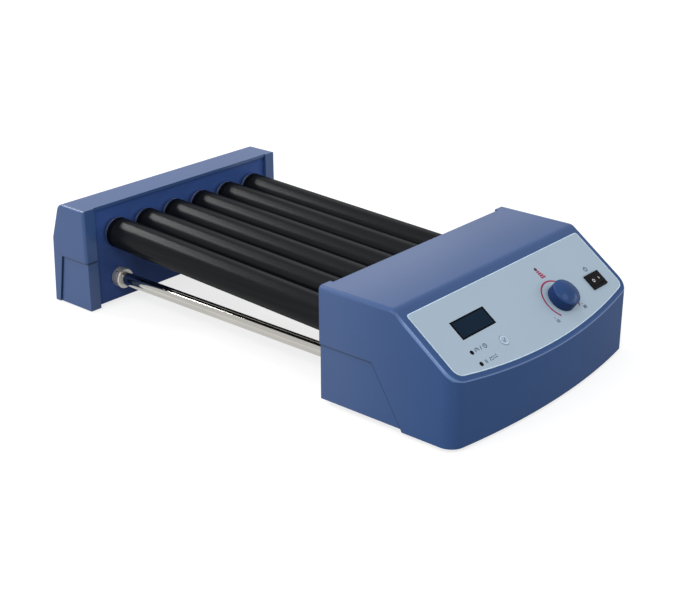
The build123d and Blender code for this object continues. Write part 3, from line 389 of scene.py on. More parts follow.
@dataclass(frozen=True)
class Finish:
    """A finish with clouded tone, uneven gloss and a fine grain; each kind of surface refines it.

    Attributes:
        roughness: its middle roughness, also that of its clear skin.
        patch: width in metres of the clouds in tone and gloss.
        tone_shift: how far the tone strays from the middle, as a share.
        gloss_shift: how far the roughness strays from the middle.
        specular: level of the mirror shine below the skin.
        coat: weight of the clear skin.
        swell: depth in metres of the broad unevenness of a moulded face.
        cloud_span: noise values between which the tone goes from dark to light.
        haze_span: noise values between which the roughness goes from low to high.
    """

    name: str
    colour: Rgb
    roughness: float
    grain: Grain
    patch: float = 0.05
    tone_shift: float = 0.08
    gloss_shift: float = 0.08
    metallic: float = 0.0
    specular: float = 0.5
    coat: float = 0.0
    swell: float = 0.0
    cloud_span: Span = (0.7, 1.3)
    haze_span: Span = (0.35, 0.65)
    gloss_floor: float = 0.02

    def shade(self, factor: float) -> Rgb:
        """The finish's colour, lighter or darker by a factor."""
        return tuple(min(1.0, c * factor) for c in self.colour)

    def clouded(self, tree: ShaderTree, share: Socket) -> Socket:
        """The finish's colour, from its darker tone at a share of 0 to its lighter one at 1."""
        return tree.blend(share, self.shade(1 - self.tone_shift), self.shade(1 + self.tone_shift))

    def tone(self, tree: ShaderTree) -> Socket:
        """Colour over the surface: broad clouds with finer flecks in them.

        Args:
            tree: material under construction.

        Returns:
            The colour.
        """
        clouds = tree.noise(tree.place(), self.patch, detail=4.0)
        flecks = tree.noise(tree.place(self.grain.stretch), 2 * self.grain.size, detail=2.0)
        return self.clouded(tree, tree.ranged(tree.maths("ADD", clouds, flecks), *self.cloud_span))

    def gloss(self, tree: ShaderTree) -> Socket:
        """Roughness over the surface.

        Args:
            tree: material under construction.

        Returns:
            The roughness.
        """
        haze = tree.noise(tree.place(self.grain.stretch), self.patch / 2, detail=5.0)
        low = max(self.gloss_floor, self.roughness - self.gloss_shift)
        return tree.ranged(haze, *self.haze_span, low, self.roughness + self.gloss_shift)

    def relief(self, tree: ShaderTree) -> Socket:
        """Grain, on a broad swell of the surface where it has one.

        Args:
            tree: material under construction.

        Returns:
            The bent normal.
        """
        fine = tree.noise(tree.place(self.grain.stretch), self.grain.size, detail=2.0)
        if not self.swell:
            return tree.bump(fine, self.grain.depth)
        broad = tree.bump(tree.noise(tree.place(), self.patch, detail=1.0), self.swell)
        return tree.bump(fine, self.grain.depth, broad)

    def lustre(self, tree: ShaderTree) -> Socket | float:
        """Weight of the clear skin that gives plastic and rubber their soft shine."""
        return self.coat

    def material(self) -> Material:
        """Builds the finish.

        Returns:
            The finished material.
        """
        tree = ShaderTree(self.name)
        gloss, relief = self.gloss(tree), self.relief(tree)
        values = {"Base Color": self.tone(tree), "Roughness": gloss, "Normal": relief,
                  "Metallic": self.metallic, "Specular IOR Level": self.specular,
                  "Coat Weight": self.lustre(tree), "Coat Roughness": self.roughness, "Coat Normal": relief}
        return tree.finish(tree.add("ShaderNodeBsdfPrincipled", values))


@dataclass(frozen=True)
class Seam:
    """Edge of a lower casing in the side view: level along the top, then down a slanted line to the foot.

    Attributes:
        knee: where the level part ends, as y and z.
        foot: where the slanted part ends, as y and z.
        span: distance in y from the knee within which the seam counts.
    """

    knee: Point2
    foot: Point2
    span: float = 70 * MM

    @classmethod
    def measured(cls, node: str, toward: int) -> "Seam":
        """Reads the seam from the side walls of an imported lower casing.

        Args:
            node: name of the lower casing.
            toward: 1 where its slanted edge looks to +Y, -1 where it looks to -Y.

        Returns:
            The seam.
        """
        _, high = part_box(node)
        side = [p for p in points(node) if p.x > high.x - NEAR]
        top, bottom = max(p.z for p in side), min(p.z for p in side)
        knee = toward * max(toward * p.y for p in side if p.z > top - NEAR)
        foot = toward * max(toward * p.y for p in side if p.z < bottom + NEAR)
        return cls((knee, top), (foot, bottom))

    def beyond(self, tree: ShaderTree) -> Socket:
        """Distance out of the lower casing's outline, negative inside it.

        Args:
            tree: material under construction.

        Returns:
            The distance in metres.
        """
        _, y, z = tree.axes()
        run, drop = self.foot[0] - self.knee[0], self.knee[1] - self.foot[1]
        length = math.copysign(math.hypot(run, drop), run)
        along = tree.maths("SUBTRACT", y, self.knee[0])
        above = tree.maths("SUBTRACT", z, self.knee[1])
        slanted = tree.maths("ADD", tree.maths("MULTIPLY", along, drop / length),
                             tree.maths("MULTIPLY", above, run / length))
        past = tree.maths("SUBTRACT", tree.maths("ABSOLUTE", along), self.span)
        return tree.maths("MAXIMUM", tree.maths("MAXIMUM", above, slanted), past)


@dataclass(frozen=True)
class SlopeFinish(Finish):
    """Finish whose pattern lies square to the slope.

    Attributes:
        lean: angle of the slope.
        origin: point of the model that the pattern is centred on.
    """

    lean: float = 0.0
    origin: Point3 = (0.0, 0.0, 0.0)

    def square(self, tree: ShaderTree) -> tuple[Socket, ...]:
        """Distances from the origin across, up and out of the slope."""
        return tree.axes(self.lean, self.origin)


@dataclass(frozen=True)
class RubbedCasing(SlopeFinish):
    """Moulded plastic, duller towards the bowed front, with a polished rim round the slope that carries a
    painted highlight.

    Attributes:
        seams: where the lower casings meet the covers.
        seam_shadow_reach: distances from a seam at which its painted shadow line starts and ends to fade.
        front_span: places in y between which the skin goes from rubbed to full.
        front_coat: weight of the rubbed skin.
        tail_start: place in y from which the skin has the end block's own weight.
        rim: depths below the slope's plane at which the rim starts and ends.
        rim_fades: where the rim's outer fades start and end, as shares of those depths.
        rim_back: places in y between which the rim fades out.
        side_edge: distances from the middle between which the rim widens.
        side_squeeze: share of the depth that still counts at the sides.
    """

    seams: tuple[Seam, ...] = ()
    seam_shadow_reach: Span = (1.1 * MM, 1.5 * MM)
    # Darkness of the painted shadow line along each seam, as a factor of the casing's colour.
    seam_shadow_factor: float = 0.6
    front_span: Span = (-0.235, -0.12)
    front_coat: float = 0.2
    tail_start: float = 0.15
    tail_coat: float = 0.78
    rim: Span = (0.12 * MM, 0.8 * MM)
    rim_fades: Span = (0.3, 1.3)
    rim_back: Span = (-0.19, -0.18)
    # Paler blue of the rim round the slope: a painted highlight.
    rim_highlight_tone: Rgb = (0.105, 0.185, 0.385)
    rim_coat: float = 0.7
    side_edge: Span = (0.124, 0.129)
    side_squeeze: float = 0.4

    def bead(self, tree: ShaderTree) -> Socket:
        """Mask of the rim, by its depth below the plane of the slope; it is broader along the sides.

        Args:
            tree: material under construction.

        Returns:
            1 on the rim and 0 elsewhere.
        """
        depth = tree.maths("MULTIPLY", self.square(tree)[2], -1.0)
        x, y, _ = tree.axes()
        near, far = self.rim
        aside = tree.ranged(tree.maths("ABSOLUTE", x), *self.side_edge, 1.0, self.side_squeeze)
        start = tree.ranged(depth, self.rim_fades[0] * near, near)
        end = tree.ranged(tree.maths("MULTIPLY", depth, aside), far, self.rim_fades[1] * far, 1.0, 0.0)
        near_front = tree.ranged(y, *self.rim_back, 1.0, 0.0)
        return tree.maths("MULTIPLY", tree.maths("MULTIPLY", start, end), near_front)

    def tone(self, tree: ShaderTree) -> Socket:
        """Blue with a painted highlight along the rim and a painted shadow line along each seam.

        Args:
            tree: material under construction.

        Returns:
            The colour.
        """
        # The paler blue on the rim is a painted highlight.
        tone = tree.blend(self.bead(tree), super().tone(tree), self.rim_highlight_tone)
        for seam in self.seams:
            # Painted shadow: a dark line along each seam, where the cover's edge shades the casing below it.
            line = tree.ranged(tree.maths("ABSOLUTE", seam.beyond(tree)), *self.seam_shadow_reach, 1.0, 0.0)
            tone = tree.blend(line, tone, self.shade(self.seam_shadow_factor))
        return tone

    def lustre(self, tree: ShaderTree) -> Socket:
        """Shine that grows from the front to the back of the head, softer on the end block, full on the rim.

        Args:
            tree: material under construction.

        Returns:
            The weight.
        """
        y = tree.axes()[1]
        head = tree.ranged(y, *self.front_span, self.front_coat, self.coat)
        tail = tree.ranged(y, self.tail_start, self.tail_start + MM, self.coat, self.tail_coat)
        rim = tree.maths("MULTIPLY", self.bead(tree), self.rim_coat)
        return tree.maths("MAXIMUM", tree.maths("MINIMUM", head, tail), rim)


@dataclass(frozen=True)
class ShadedSideKnob(SlopeFinish):
    """Knob whose side is painted a deeper tone than its cap, as painted shade; its origin is on the axis,
    where the cap begins.
    """

    # Deep blue of the knob's side: painted shade.
    side: Rgb = (0.011, 0.031, 0.104)
    fade: Span = (-1.2 * MM, 0.2 * MM)

    def tone(self, tree: ShaderTree) -> Socket:
        """Painted shade: deep blue side below the cap, lighter blue above."""
        above = tree.ranged(self.square(tree)[2], *self.fade)
        return tree.blend(above, self.side, super().tone(tree))


@dataclass(frozen=True)
class EndShadedRubber(Finish):
    """Rubber sleeve drawn over a tube: lengthways streaks, and at each end a band that is rougher and
    darkened as painted shade.

    Attributes:
        middle: place of the sleeve's middle in y.
        reach: distance from there to its ends.
        band_fade: part of an end band over which it comes in.
        streak_span: noise values between which the streaks go from dark to light.
        cut_haze: roughness that the end bands have on top of the sleeve's own.
    """

    middle: float = 0.0
    reach: float = 0.15
    band: float = 8 * MM
    band_fade: float = 0.4
    streak: float = 3 * MM
    streak_stretch: Point3 = (1.0, 40.0, 1.0)
    streak_span: Span = (0.3, 0.7)
    # Darkening of the end bands next to the panels: painted shade.
    end_shadow_shade: float = 0.45
    cut_haze: float = 0.2

    def ends(self, tree: ShaderTree) -> Socket:
        """Mask of the two end bands.

        Args:
            tree: material under construction.

        Returns:
            1 in the bands and 0 between them.
        """
        along = tree.maths("ABSOLUTE", tree.axes(centre=(0.0, self.middle, 0.0))[1])
        start = self.reach - self.band
        return tree.ranged(along, start, start + self.band_fade * self.band)

    def tone(self, tree: ShaderTree) -> Socket:
        """Near black with streaks along the roller, with painted shade darkening the end bands.

        Args:
            tree: material under construction.

        Returns:
            The colour.
        """
        streaks = tree.noise(tree.place(self.streak_stretch), self.streak, detail=4.0)
        between = self.clouded(tree, tree.ranged(streaks, *self.streak_span))
        # The end bands are darkened as painted shade.
        return tree.blend(self.ends(tree), between, self.shade(self.end_shadow_shade))

    def gloss(self, tree: ShaderTree) -> Socket:
        """Satin along the roller, dull in the end bands."""
        return tree.maths("ADD", super().gloss(tree), tree.maths("MULTIPLY", self.ends(tree), self.cut_haze))


@dataclass(frozen=True)
class TurnedSteel(Finish):
    """Steel faced on a lathe: fine rings round an axis along Y, one on each side of the machine.

    Attributes:
        axis_x: distance of the two axes from the middle.
        axis_z: their height.
        ring: distance from ring to ring.
    """

    axis_x: float = 0.0
    axis_z: float = 0.0
    ring: float = 0.5 * MM

    def relief(self, tree: ShaderTree) -> Socket:
        """Turning marks as rings on end faces and round the drum.

        Args:
            tree: material under construction.

        Returns:
            The bent normal.
        """
        x, y, z = tree.axes()
        across = tree.maths("SUBTRACT", tree.maths("ABSOLUTE", x), self.axis_x)
        above = tree.maths("SUBTRACT", z, self.axis_z)
        radius = tree.maths("SQRT", tree.maths("ADD", tree.maths("MULTIPLY", across, across),
                                               tree.maths("MULTIPLY", above, above)))
        path = tree.maths("ADD", radius, y)
        wave = tree.maths("SINE", tree.maths("MULTIPLY", path, math.tau / self.ring))
        return tree.bump(wave, self.grain.depth)


@dataclass(frozen=True)
class FramedWindow(SlopeFinish):
    """Dark acrylic window whose underside is printed black round the edge; its origin is its middle.

    Attributes:
        half: half its clear width and height.
        border: colour of the printed edge.
        fade: distance over which the edge comes in.
    """

    half: Point2 = (20 * MM, 8 * MM)
    border: Rgb = (0.001, 0.0015, 0.002)
    fade: float = 0.3 * MM

    def tone(self, tree: ShaderTree) -> Socket:
        """Smoky tint inside a black frame.

        Args:
            tree: material under construction.

        Returns:
            The colour.
        """
        past = [tree.maths("SUBTRACT", tree.maths("ABSOLUTE", axis), half)
                for axis, half in zip(self.square(tree), self.half)]
        framed = tree.ranged(tree.maths("MAXIMUM", *past), 0.0, self.fade)
        return tree.blend(framed, super().tone(tree), self.border)


@dataclass(frozen=True)
class TracedBoard(SlopeFinish):
    """Green circuit board with lighter copper runs below its mask.

    Attributes:
        copper: colour of the runs.
        density: repeats of the net in a metre.
        run_width: width of a run in the net's own unit.
        cell: width and height of the net's cells in that unit.
    """

    copper: Rgb = (0.05, 0.24, 0.07)
    density: float = 220.0
    run_width: float = 0.09
    cell: Point2 = (1.4, 0.5)

    def tone(self, tree: ShaderTree) -> Socket:
        """Green mask over a net of copper runs.

        Args:
            tree: material under construction.

        Returns:
            The colour.
        """
        width, height = self.cell
        values = {"Vector": tree.place(lean=self.lean), "Scale": self.density, "Mortar Size": self.run_width,
                  "Brick Width": width, "Row Height": height}
        net = tree.add("ShaderNodeTexBrick", values).outputs["Fac"]
        return tree.blend(net, super().tone(tree), self.copper)


@dataclass(frozen=True)
class Palette:
    """Every finish of the mixer, with the places that their patterns are centred on.

    Attributes:
        slope: the control face.
        sleeve_middle: middle of the roller sleeves in y.
        sleeve_reach: distance from there to their ends.
        rod_x: distance of the rods' axes from the middle.
        rod_z: their height.
        window_centre: middle of the display window.
        window_half: half its clear width and height.
    """

    slope: SlopeFace
    sleeve_middle: float
    sleeve_reach: float
    rod_x: float
    rod_z: float
    window_centre: Vector
    window_half: Point2

    @classmethod
    def measured(cls, slope: SlopeFace, border: float = 2.2 * MM) -> "Palette":
        """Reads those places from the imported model.

        Args:
            slope: the control face.
            border: width of the window's printed edge.

        Returns:
            The palette.
        """
        low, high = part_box("roller_1_sleeve")
        rod_low, rod_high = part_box("tie_rods")
        window_low, window_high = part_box("display_window")
        rod_x = rod_high.x - (rod_high.z - rod_low.z) / 2
        half_up = (window_high.z - window_low.z) / 2 / math.sin(slope.lean)
        half = ((window_high.x - window_low.x) / 2 - border, half_up - border)
        return cls(slope, (low.y + high.y) / 2, (high.y - low.y) / 2, rod_x, (rod_low.z + rod_high.z) / 2,
                   middle("display_window"), half)

    def casing(self) -> Finish:
        """Moulded blue housing with a fine spark texture."""
        return RubbedCasing("Moulded_Blue_Casing", (0.035, 0.081, 0.214), 0.32, Grain(0.7 * MM, 0.002 * MM),
                            patch=0.07, tone_shift=0.04, gloss_shift=0.04, specular=0.0, coat=0.85,
                            swell=0.02 * MM, origin=tuple(self.slope.bare_spot()), lean=self.slope.lean,
                            seams=(Seam.measured("head_base", -1), Seam.measured("tail_base", 1)))

    def inner_panel(self) -> Finish:
        """Deeper and duller blue of the panels that face the rollers."""
        return Finish("Inner_Blue_Panel", (0.037, 0.081, 0.256), 0.34, Grain(0.7 * MM, 0.006 * MM),
                      tone_shift=0.04, gloss_shift=0.04, specular=0.0, coat=0.22)

    def knob(self, cap: float = 4.6 * MM) -> Finish:
        """Smoother and deeper blue of the speed knob, with the height of its cap."""
        return ShadedSideKnob("Satin_Blue_Knob", (0.020, 0.056, 0.168), 0.24, Grain(0.5 * MM, 0.002 * MM),
                           patch=0.012, tone_shift=0.06, gloss_shift=0.04, specular=0.0, coat=0.28,
                           origin=tuple(self.slope.shoulder("speed_knob", cap)), lean=self.slope.lean)

    def film(self) -> Finish:
        """Pale blue printed film with a fine matt emboss."""
        return Finish("Pale_Panel_Film", (0.354, 0.451, 0.548), 0.46, Grain(0.35 * MM, 0.005 * MM),
                      tone_shift=0.025, gloss_shift=0.06, specular=0.3)

    def window(self) -> Finish:
        """Smoked acrylic of the display window."""
        return FramedWindow("Smoked_Window", (0.005, 0.016, 0.034), 0.16, Grain(0.6 * MM, 0.0005 * MM),
                            patch=0.02, tone_shift=0.10, gloss_shift=0.03, specular=0.0, coat=0.10,
                            origin=tuple(self.window_centre), lean=self.slope.lean, half=self.window_half)

    def black_moulding(self) -> Finish:
        """Black moulded plastic of switch, socket and carriers."""
        return Finish("Black_Moulding", (0.008, 0.008, 0.009), 0.3, Grain(0.4 * MM, 0.004 * MM), patch=0.01,
                      tone_shift=0.2, gloss_shift=0.08, specular=0.0, coat=0.15)

    def lens(self) -> Finish:
        """Smoked indicator lens."""
        return Finish("Smoked_Lens", (0.003, 0.003, 0.005), 0.14, Grain(0.3 * MM, 0.0005 * MM), patch=0.003,
                      tone_shift=0.3, gloss_shift=0.05, specular=0.0, coat=0.15)

    def feet(self) -> Finish:
        """Dull rubber of the feet."""
        return Finish("Foot_Rubber", (0.017, 0.017, 0.018), 0.75, Grain(0.6 * MM, 0.03 * MM), patch=0.01,
                      tone_shift=0.25, gloss_shift=0.1, specular=0.3)

    def sleeve(self) -> Finish:
        """Satin rubber of the roller sleeves."""
        return EndShadedRubber("Roller_Rubber", (0.0055, 0.0062, 0.0078), 0.25,
                             Grain(1.1 * MM, 0.014 * MM, (1, 2, 1)), patch=0.035, tone_shift=0.2,
                             gloss_shift=0.06, specular=0.0, coat=0.20, middle=self.sleeve_middle,
                             reach=self.sleeve_reach)

    def rod(self) -> Finish:
        """Polished steel of the tie rods."""
        return Finish("Polished_Rod", (0.47, 0.455, 0.425), 0.09, Grain(0.25 * MM, 0.0006 * MM, (1, 60, 1)),
                      patch=0.03, tone_shift=0.05, gloss_shift=0.03, metallic=1.0)

    def collar(self) -> Finish:
        """Turned steel of the rod collars."""
        return TurnedSteel("Turned_Collar", (0.52, 0.505, 0.48), 0.30, Grain(0.25 * MM, 0.0008 * MM),
                           patch=0.006, tone_shift=0.08, gloss_shift=0.05, metallic=0.6, axis_x=self.rod_x,
                           axis_z=self.rod_z)

    def zinc(self) -> Finish:
        """Zinc plate on screws, nuts, pins and sheet."""
        return Finish("Zinc_Plate", (0.55, 0.56, 0.58), 0.32, Grain(0.5 * MM, 0.003 * MM), patch=0.006,
                      tone_shift=0.12, gloss_shift=0.1, metallic=1.0)

    def ground_steel(self) -> Finish:
        """Ground steel of bearings, shafts and roller tubes."""
        return Finish("Ground_Steel", (0.50, 0.50, 0.51), 0.34, Grain(0.2 * MM, 0.0005 * MM, (1, 0.2, 1)),
                      patch=0.01, tone_shift=0.08, gloss_shift=0.06, metallic=1.0)

    def aluminium(self) -> Finish:
        """Milled aluminium of the bearing plates."""
        return Finish("Milled_Aluminium", (0.66, 0.67, 0.68), 0.34, Grain(0.3 * MM, 0.002 * MM, (30, 1, 1)),
                      patch=0.02, tone_shift=0.07, gloss_shift=0.08, metallic=1.0)

    def acetal(self) -> Finish:
        """Ivory acetal of the gears."""
        return Finish("Gear_Acetal", (0.74, 0.71, 0.62), 0.42, Grain(0.5 * MM, 0.004 * MM), patch=0.01,
                      tone_shift=0.04, gloss_shift=0.06)

    def motor_can(self) -> Finish:
        """Plated steel of the gearmotor and the speed control's can."""
        return Finish("Motor_Can", (0.46, 0.46, 0.45), 0.30, Grain(0.4 * MM, 0.002 * MM, (1, 8, 1)),
                      patch=0.02, tone_shift=0.1, gloss_shift=0.08, metallic=1.0)

    def board(self) -> Finish:
        """Solder mask of the control board."""
        return TracedBoard("Board_Mask", (0.012, 0.11, 0.035), 0.3, Grain(0.4 * MM, 0.004 * MM), patch=0.01,
                           tone_shift=0.1, gloss_shift=0.06, coat=0.2, lean=self.slope.lean)


def dress(nodes: Iterable[str], finish: Finish) -> None:
    """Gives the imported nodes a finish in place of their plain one.

    Args:
        nodes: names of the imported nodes.
        finish: the finish that they share.
    """
    material = finish.material()
    for name in nodes:
        for slot in frame["nodes"][name].material_slots:
            slot.material = material
        LOG.info("%s wears %s", name, finish.name)


# Geometry trees


class GeometryTree(NodeSketch):
    """One geometry node tree under construction, with named inputs."""

    def __init__(self, name: str) -> None:
        """Starts a tree that takes and gives geometry.

        Args:
            name: name of the tree.
        """
        super().__init__(bpy.data.node_groups.new(name, "GeometryNodeTree"))
        for way in ("INPUT", "OUTPUT"):
            self.tree.interface.new_socket("Geometry", in_out=way, socket_type="NodeSocketGeometry")
        self.sockets: dict[str, str] = {}
        self.inlet = self.add("NodeGroupInput")
        self.outlet = self.add("NodeGroupOutput")

    def value(self, name: str, kind: str = "NodeSocketFloat") -> Socket:
        """Adds a named input.

        Args:
            name: the input's name.
            kind: Blender's type of socket.

        Returns:
            The socket that carries it inside the tree.
        """
        made = self.tree.interface.new_socket(name, in_out="INPUT", socket_type=kind)
        self.sockets[name] = made.identifier
        return self.inlet.outputs[name]

    def vector(self, *values: Socket) -> Socket:
        """Joins up to three values to a vector, with 0 for those that are left out."""
        return self.add("ShaderNodeCombineXYZ", dict(enumerate(values))).outputs[0]

    def close(self, geometry: Socket) -> None:
        """Ends the tree in plain geometry with its material.

        Args:
            geometry: what the tree has made.
        """
        material = self.value("Material", "NodeSocketMaterial")
        plain = self.add("GeometryNodeRealizeInstances", {"Geometry": geometry}).outputs[0]
        coated = self.add("GeometryNodeSetMaterial", {"Geometry": plain, "Material": material}).outputs[0]
        self.tree.links.new(coated, self.outlet.inputs[0])


def ribbon_tree() -> GeometryTree:
    """Builds the tree that turns flat lines into ribbons of ink.

    Returns:
        The tree, with a width and a height as inputs.
    """
    tree = GeometryTree("Ink_Ribbon")
    size = {name: tree.value(name) for name in ("Width", "Height")}
    flat = tree.add("GeometryNodeSetCurveNormal", {"Curve": tree.inlet.outputs[0]}, mode="Z_UP").outputs[0]
    profile = tree.add("GeometryNodeCurvePrimitiveQuadrilateral", size).outputs[0]
    swept = {"Curve": flat, "Profile Curve": profile, "Fill Caps": True}
    tree.close(tree.add("GeometryNodeCurveToMesh", swept).outputs[0])
    return tree


def bar_row_tree() -> GeometryTree:
    """Builds the tree that stands bars side by side, each taller than the last.

    Returns:
        The tree, with the count and the bars' sizes as inputs.
    """
    tree = GeometryTree("Rising_Bars")
    count = tree.value("Count", "NodeSocketInt")
    pitch, width, first, rise, height = (tree.value(n) for n in ("Pitch", "Width", "First", "Rise", "Height"))
    row = tree.add("GeometryNodeMeshLine", {"Count": count, "Offset": tree.vector(pitch)}).outputs[0]
    index = tree.add("GeometryNodeInputIndex").outputs[0]
    length = tree.maths("ADD", first, tree.maths("MULTIPLY", index, rise))
    lifted = tree.add("ShaderNodeCombineXYZ", {1: tree.maths("MULTIPLY", length, 0.5)}).outputs[0]
    spots = tree.add("GeometryNodeSetPosition", {"Geometry": row, "Offset": lifted}).outputs[0]
    cube = tree.add("GeometryNodeMeshCube", {"Size": (1.0, 1.0, 1.0)}).outputs[0]
    bars = {"Points": spots, "Instance": cube, "Scale": tree.vector(width, length, height)}
    tree.close(tree.add("GeometryNodeInstanceOnPoints", bars).outputs[0])
    return tree


def converted(source: bpy.types.Object, name: str, place: Matrix) -> bpy.types.Object:
    """Turns an object into a plain mesh in its place.

    Args:
        source: text, or an object with a geometry tree on it; it is removed.
        name: name of the piece.
        place: matrix from the object's own axes to the model.

    Returns:
        The piece, at the origin, with its place in its mesh.
    """
    bpy.context.view_layer.update()
    evaluated = source.evaluated_get(bpy.context.evaluated_depsgraph_get())
    mesh = bpy.data.meshes.new_from_object(evaluated)
    source.modifiers.clear()
    bpy.data.objects.remove(source)
    mesh.name = name
    mesh.transform(place)
    return linked(name, mesh)


def grown(source: bpy.types.Object, tree: GeometryTree, values: dict[str, object], name: str,
          place: Matrix) -> bpy.types.Object:
    """Runs a geometry tree on an object and keeps the result as a plain mesh in its place.

    Args:
        source: object that the tree starts from; it is removed.
        tree: the finished tree.
        values: named inputs.
        name: name of the piece.
        place: matrix from the tree's own axes to the model.

    Returns:
        The piece, at the origin, with its place in its mesh.
    """
    modifier = source.modifiers.new("growth", "NODES")
    modifier.node_group = tree.tree
    for key, value in values.items():
        modifier[tree.sockets[key]] = value
    return converted(source, name, place)


def seated(piece: bpy.types.Object, body: Body) -> None:
    """Lets a finished piece ride on its body and reports it."""
    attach(piece, body.value)
    LOG.info("%s rides on %s with %d faces", piece.name, body.value, len(piece.data.polygons))


# Printing


class Ink(Enum):
    """Printing inks, each with its material's name and its colour."""

    RED = ("Scale_Red_Ink", (0.30, 0.022, 0.075))
    DEEP_RED = ("Mark_Red_Ink", (0.090, 0.008, 0.025))
    SLATE = ("Sign_Slate_Ink", (0.026, 0.045, 0.092))
    KEY_BLUE = ("Key_Blue_Ink", (0.10, 0.16, 0.30))
    PALE = ("Border_Pale_Ink", (0.56, 0.70, 0.86))
    WHITE = ("Rocker_White_Ink", (0.62, 0.62, 0.61))

    def finish(self) -> Finish:
        """The ink as it dries on film and plastic."""
        return Finish(*self.value, 0.46, Grain(0.3 * MM, 0.003 * MM), patch=0.004, tone_shift=0.12,
                      gloss_shift=0.06, specular=0.25)


def inset_loop(loop: list[Point2], distance: float, sharpest: float = 0.5) -> list[Point2]:
    """Draws a closed flat line inwards.

    Args:
        loop: the line's points in order.
        distance: how far it moves.
        sharpest: least share by which the distance is divided where the line turns.

    Returns:
        The moved points.
    """
    area = sum(a[0] * b[1] - b[0] * a[1] for a, b in zip(loop, loop[1:] + loop[:1]))
    side = math.copysign(distance, area)
    moved = []
    for before, here, after in zip(loop[-1:] + loop[:-1], loop, loop[1:] + loop[:1]):
        ahead = (Vector(after) - Vector(here)).normalized()
        behind = (Vector(here) - Vector(before)).normalized()
        inwards = Vector((-ahead.y - behind.y, ahead.x + behind.x)).normalized()
        reach = side / max(sharpest, inwards.dot(Vector((-ahead.y, ahead.x))))
        moved.append((here[0] + inwards.x * reach, here[1] + inwards.y * reach))
    return moved


def arc(radius: float, start: float, sweep: float, centre: Point2 = (0.0, 0.0),
        steps: int = 48) -> list[Point2]:
    """Points along an arc about a centre, from a start over a sweep in degrees, in a number of steps."""
    angles = [math.radians(start + sweep * i / steps) for i in range(steps + 1)]
    return [(centre[0] + radius * math.cos(a), centre[1] + radius * math.sin(a)) for a in angles]


@dataclass(frozen=True)
class Stroke:
    """One printed line on the flat."""

    points: Sequence[Point2]
    ends: Ends = Ends.OPEN


def ring(radius: float, steps: int = 32) -> Stroke:
    """Circle about the origin, with a number of points."""
    return Stroke(arc(radius, 0, 360, steps=steps)[:-1], Ends.CLOSED)


class Sign(Enum):
    """Small signs as strokes about their middle, for a sign whose half height is about 1."""

    SLASH = (Stroke([(-0.35, -0.9), (0.35, 0.9)]),)
    CLOCK = (ring(1.0), Stroke([(0.0, 0.65), (0.0, 0.0), (0.5, 0.0)]))
    GAUGE = (Stroke(arc(1.15, 205, -230, (0.0, -0.25), 32)), Stroke([(0.0, -0.25), (0.45, 0.45)]))
    PAUSE = (Stroke([(-0.4, -0.85), (-0.4, 0.85)]), Stroke([(0.4, -0.85), (0.4, 0.85)]))
    ARROWS = (Stroke([(2.1, -0.45), (-2.1, -0.45), (-1.5, -0.95)]),
              Stroke([(-2.1, 0.45), (2.1, 0.45), (1.5, 0.95)]))
    TICK = (Stroke([(-0.42, 0.0), (-0.12, -0.32), (0.45, 0.36)]),)
    POWER = (Stroke(arc(1.0, 125, 290)), Stroke([(0.0, 0.1), (0.0, 1.25)]))
    BAR = (Stroke([(0.0, -1.0), (0.0, 1.0)]),)

    def at(self, size: float, across: float = 0.0) -> list[Stroke]:
        """The sign's strokes at a size in metres, moved across by a distance."""
        return [Stroke([(across + size * x, size * y) for x, y in stroke.points], stroke.ends)
                for stroke in self.value]


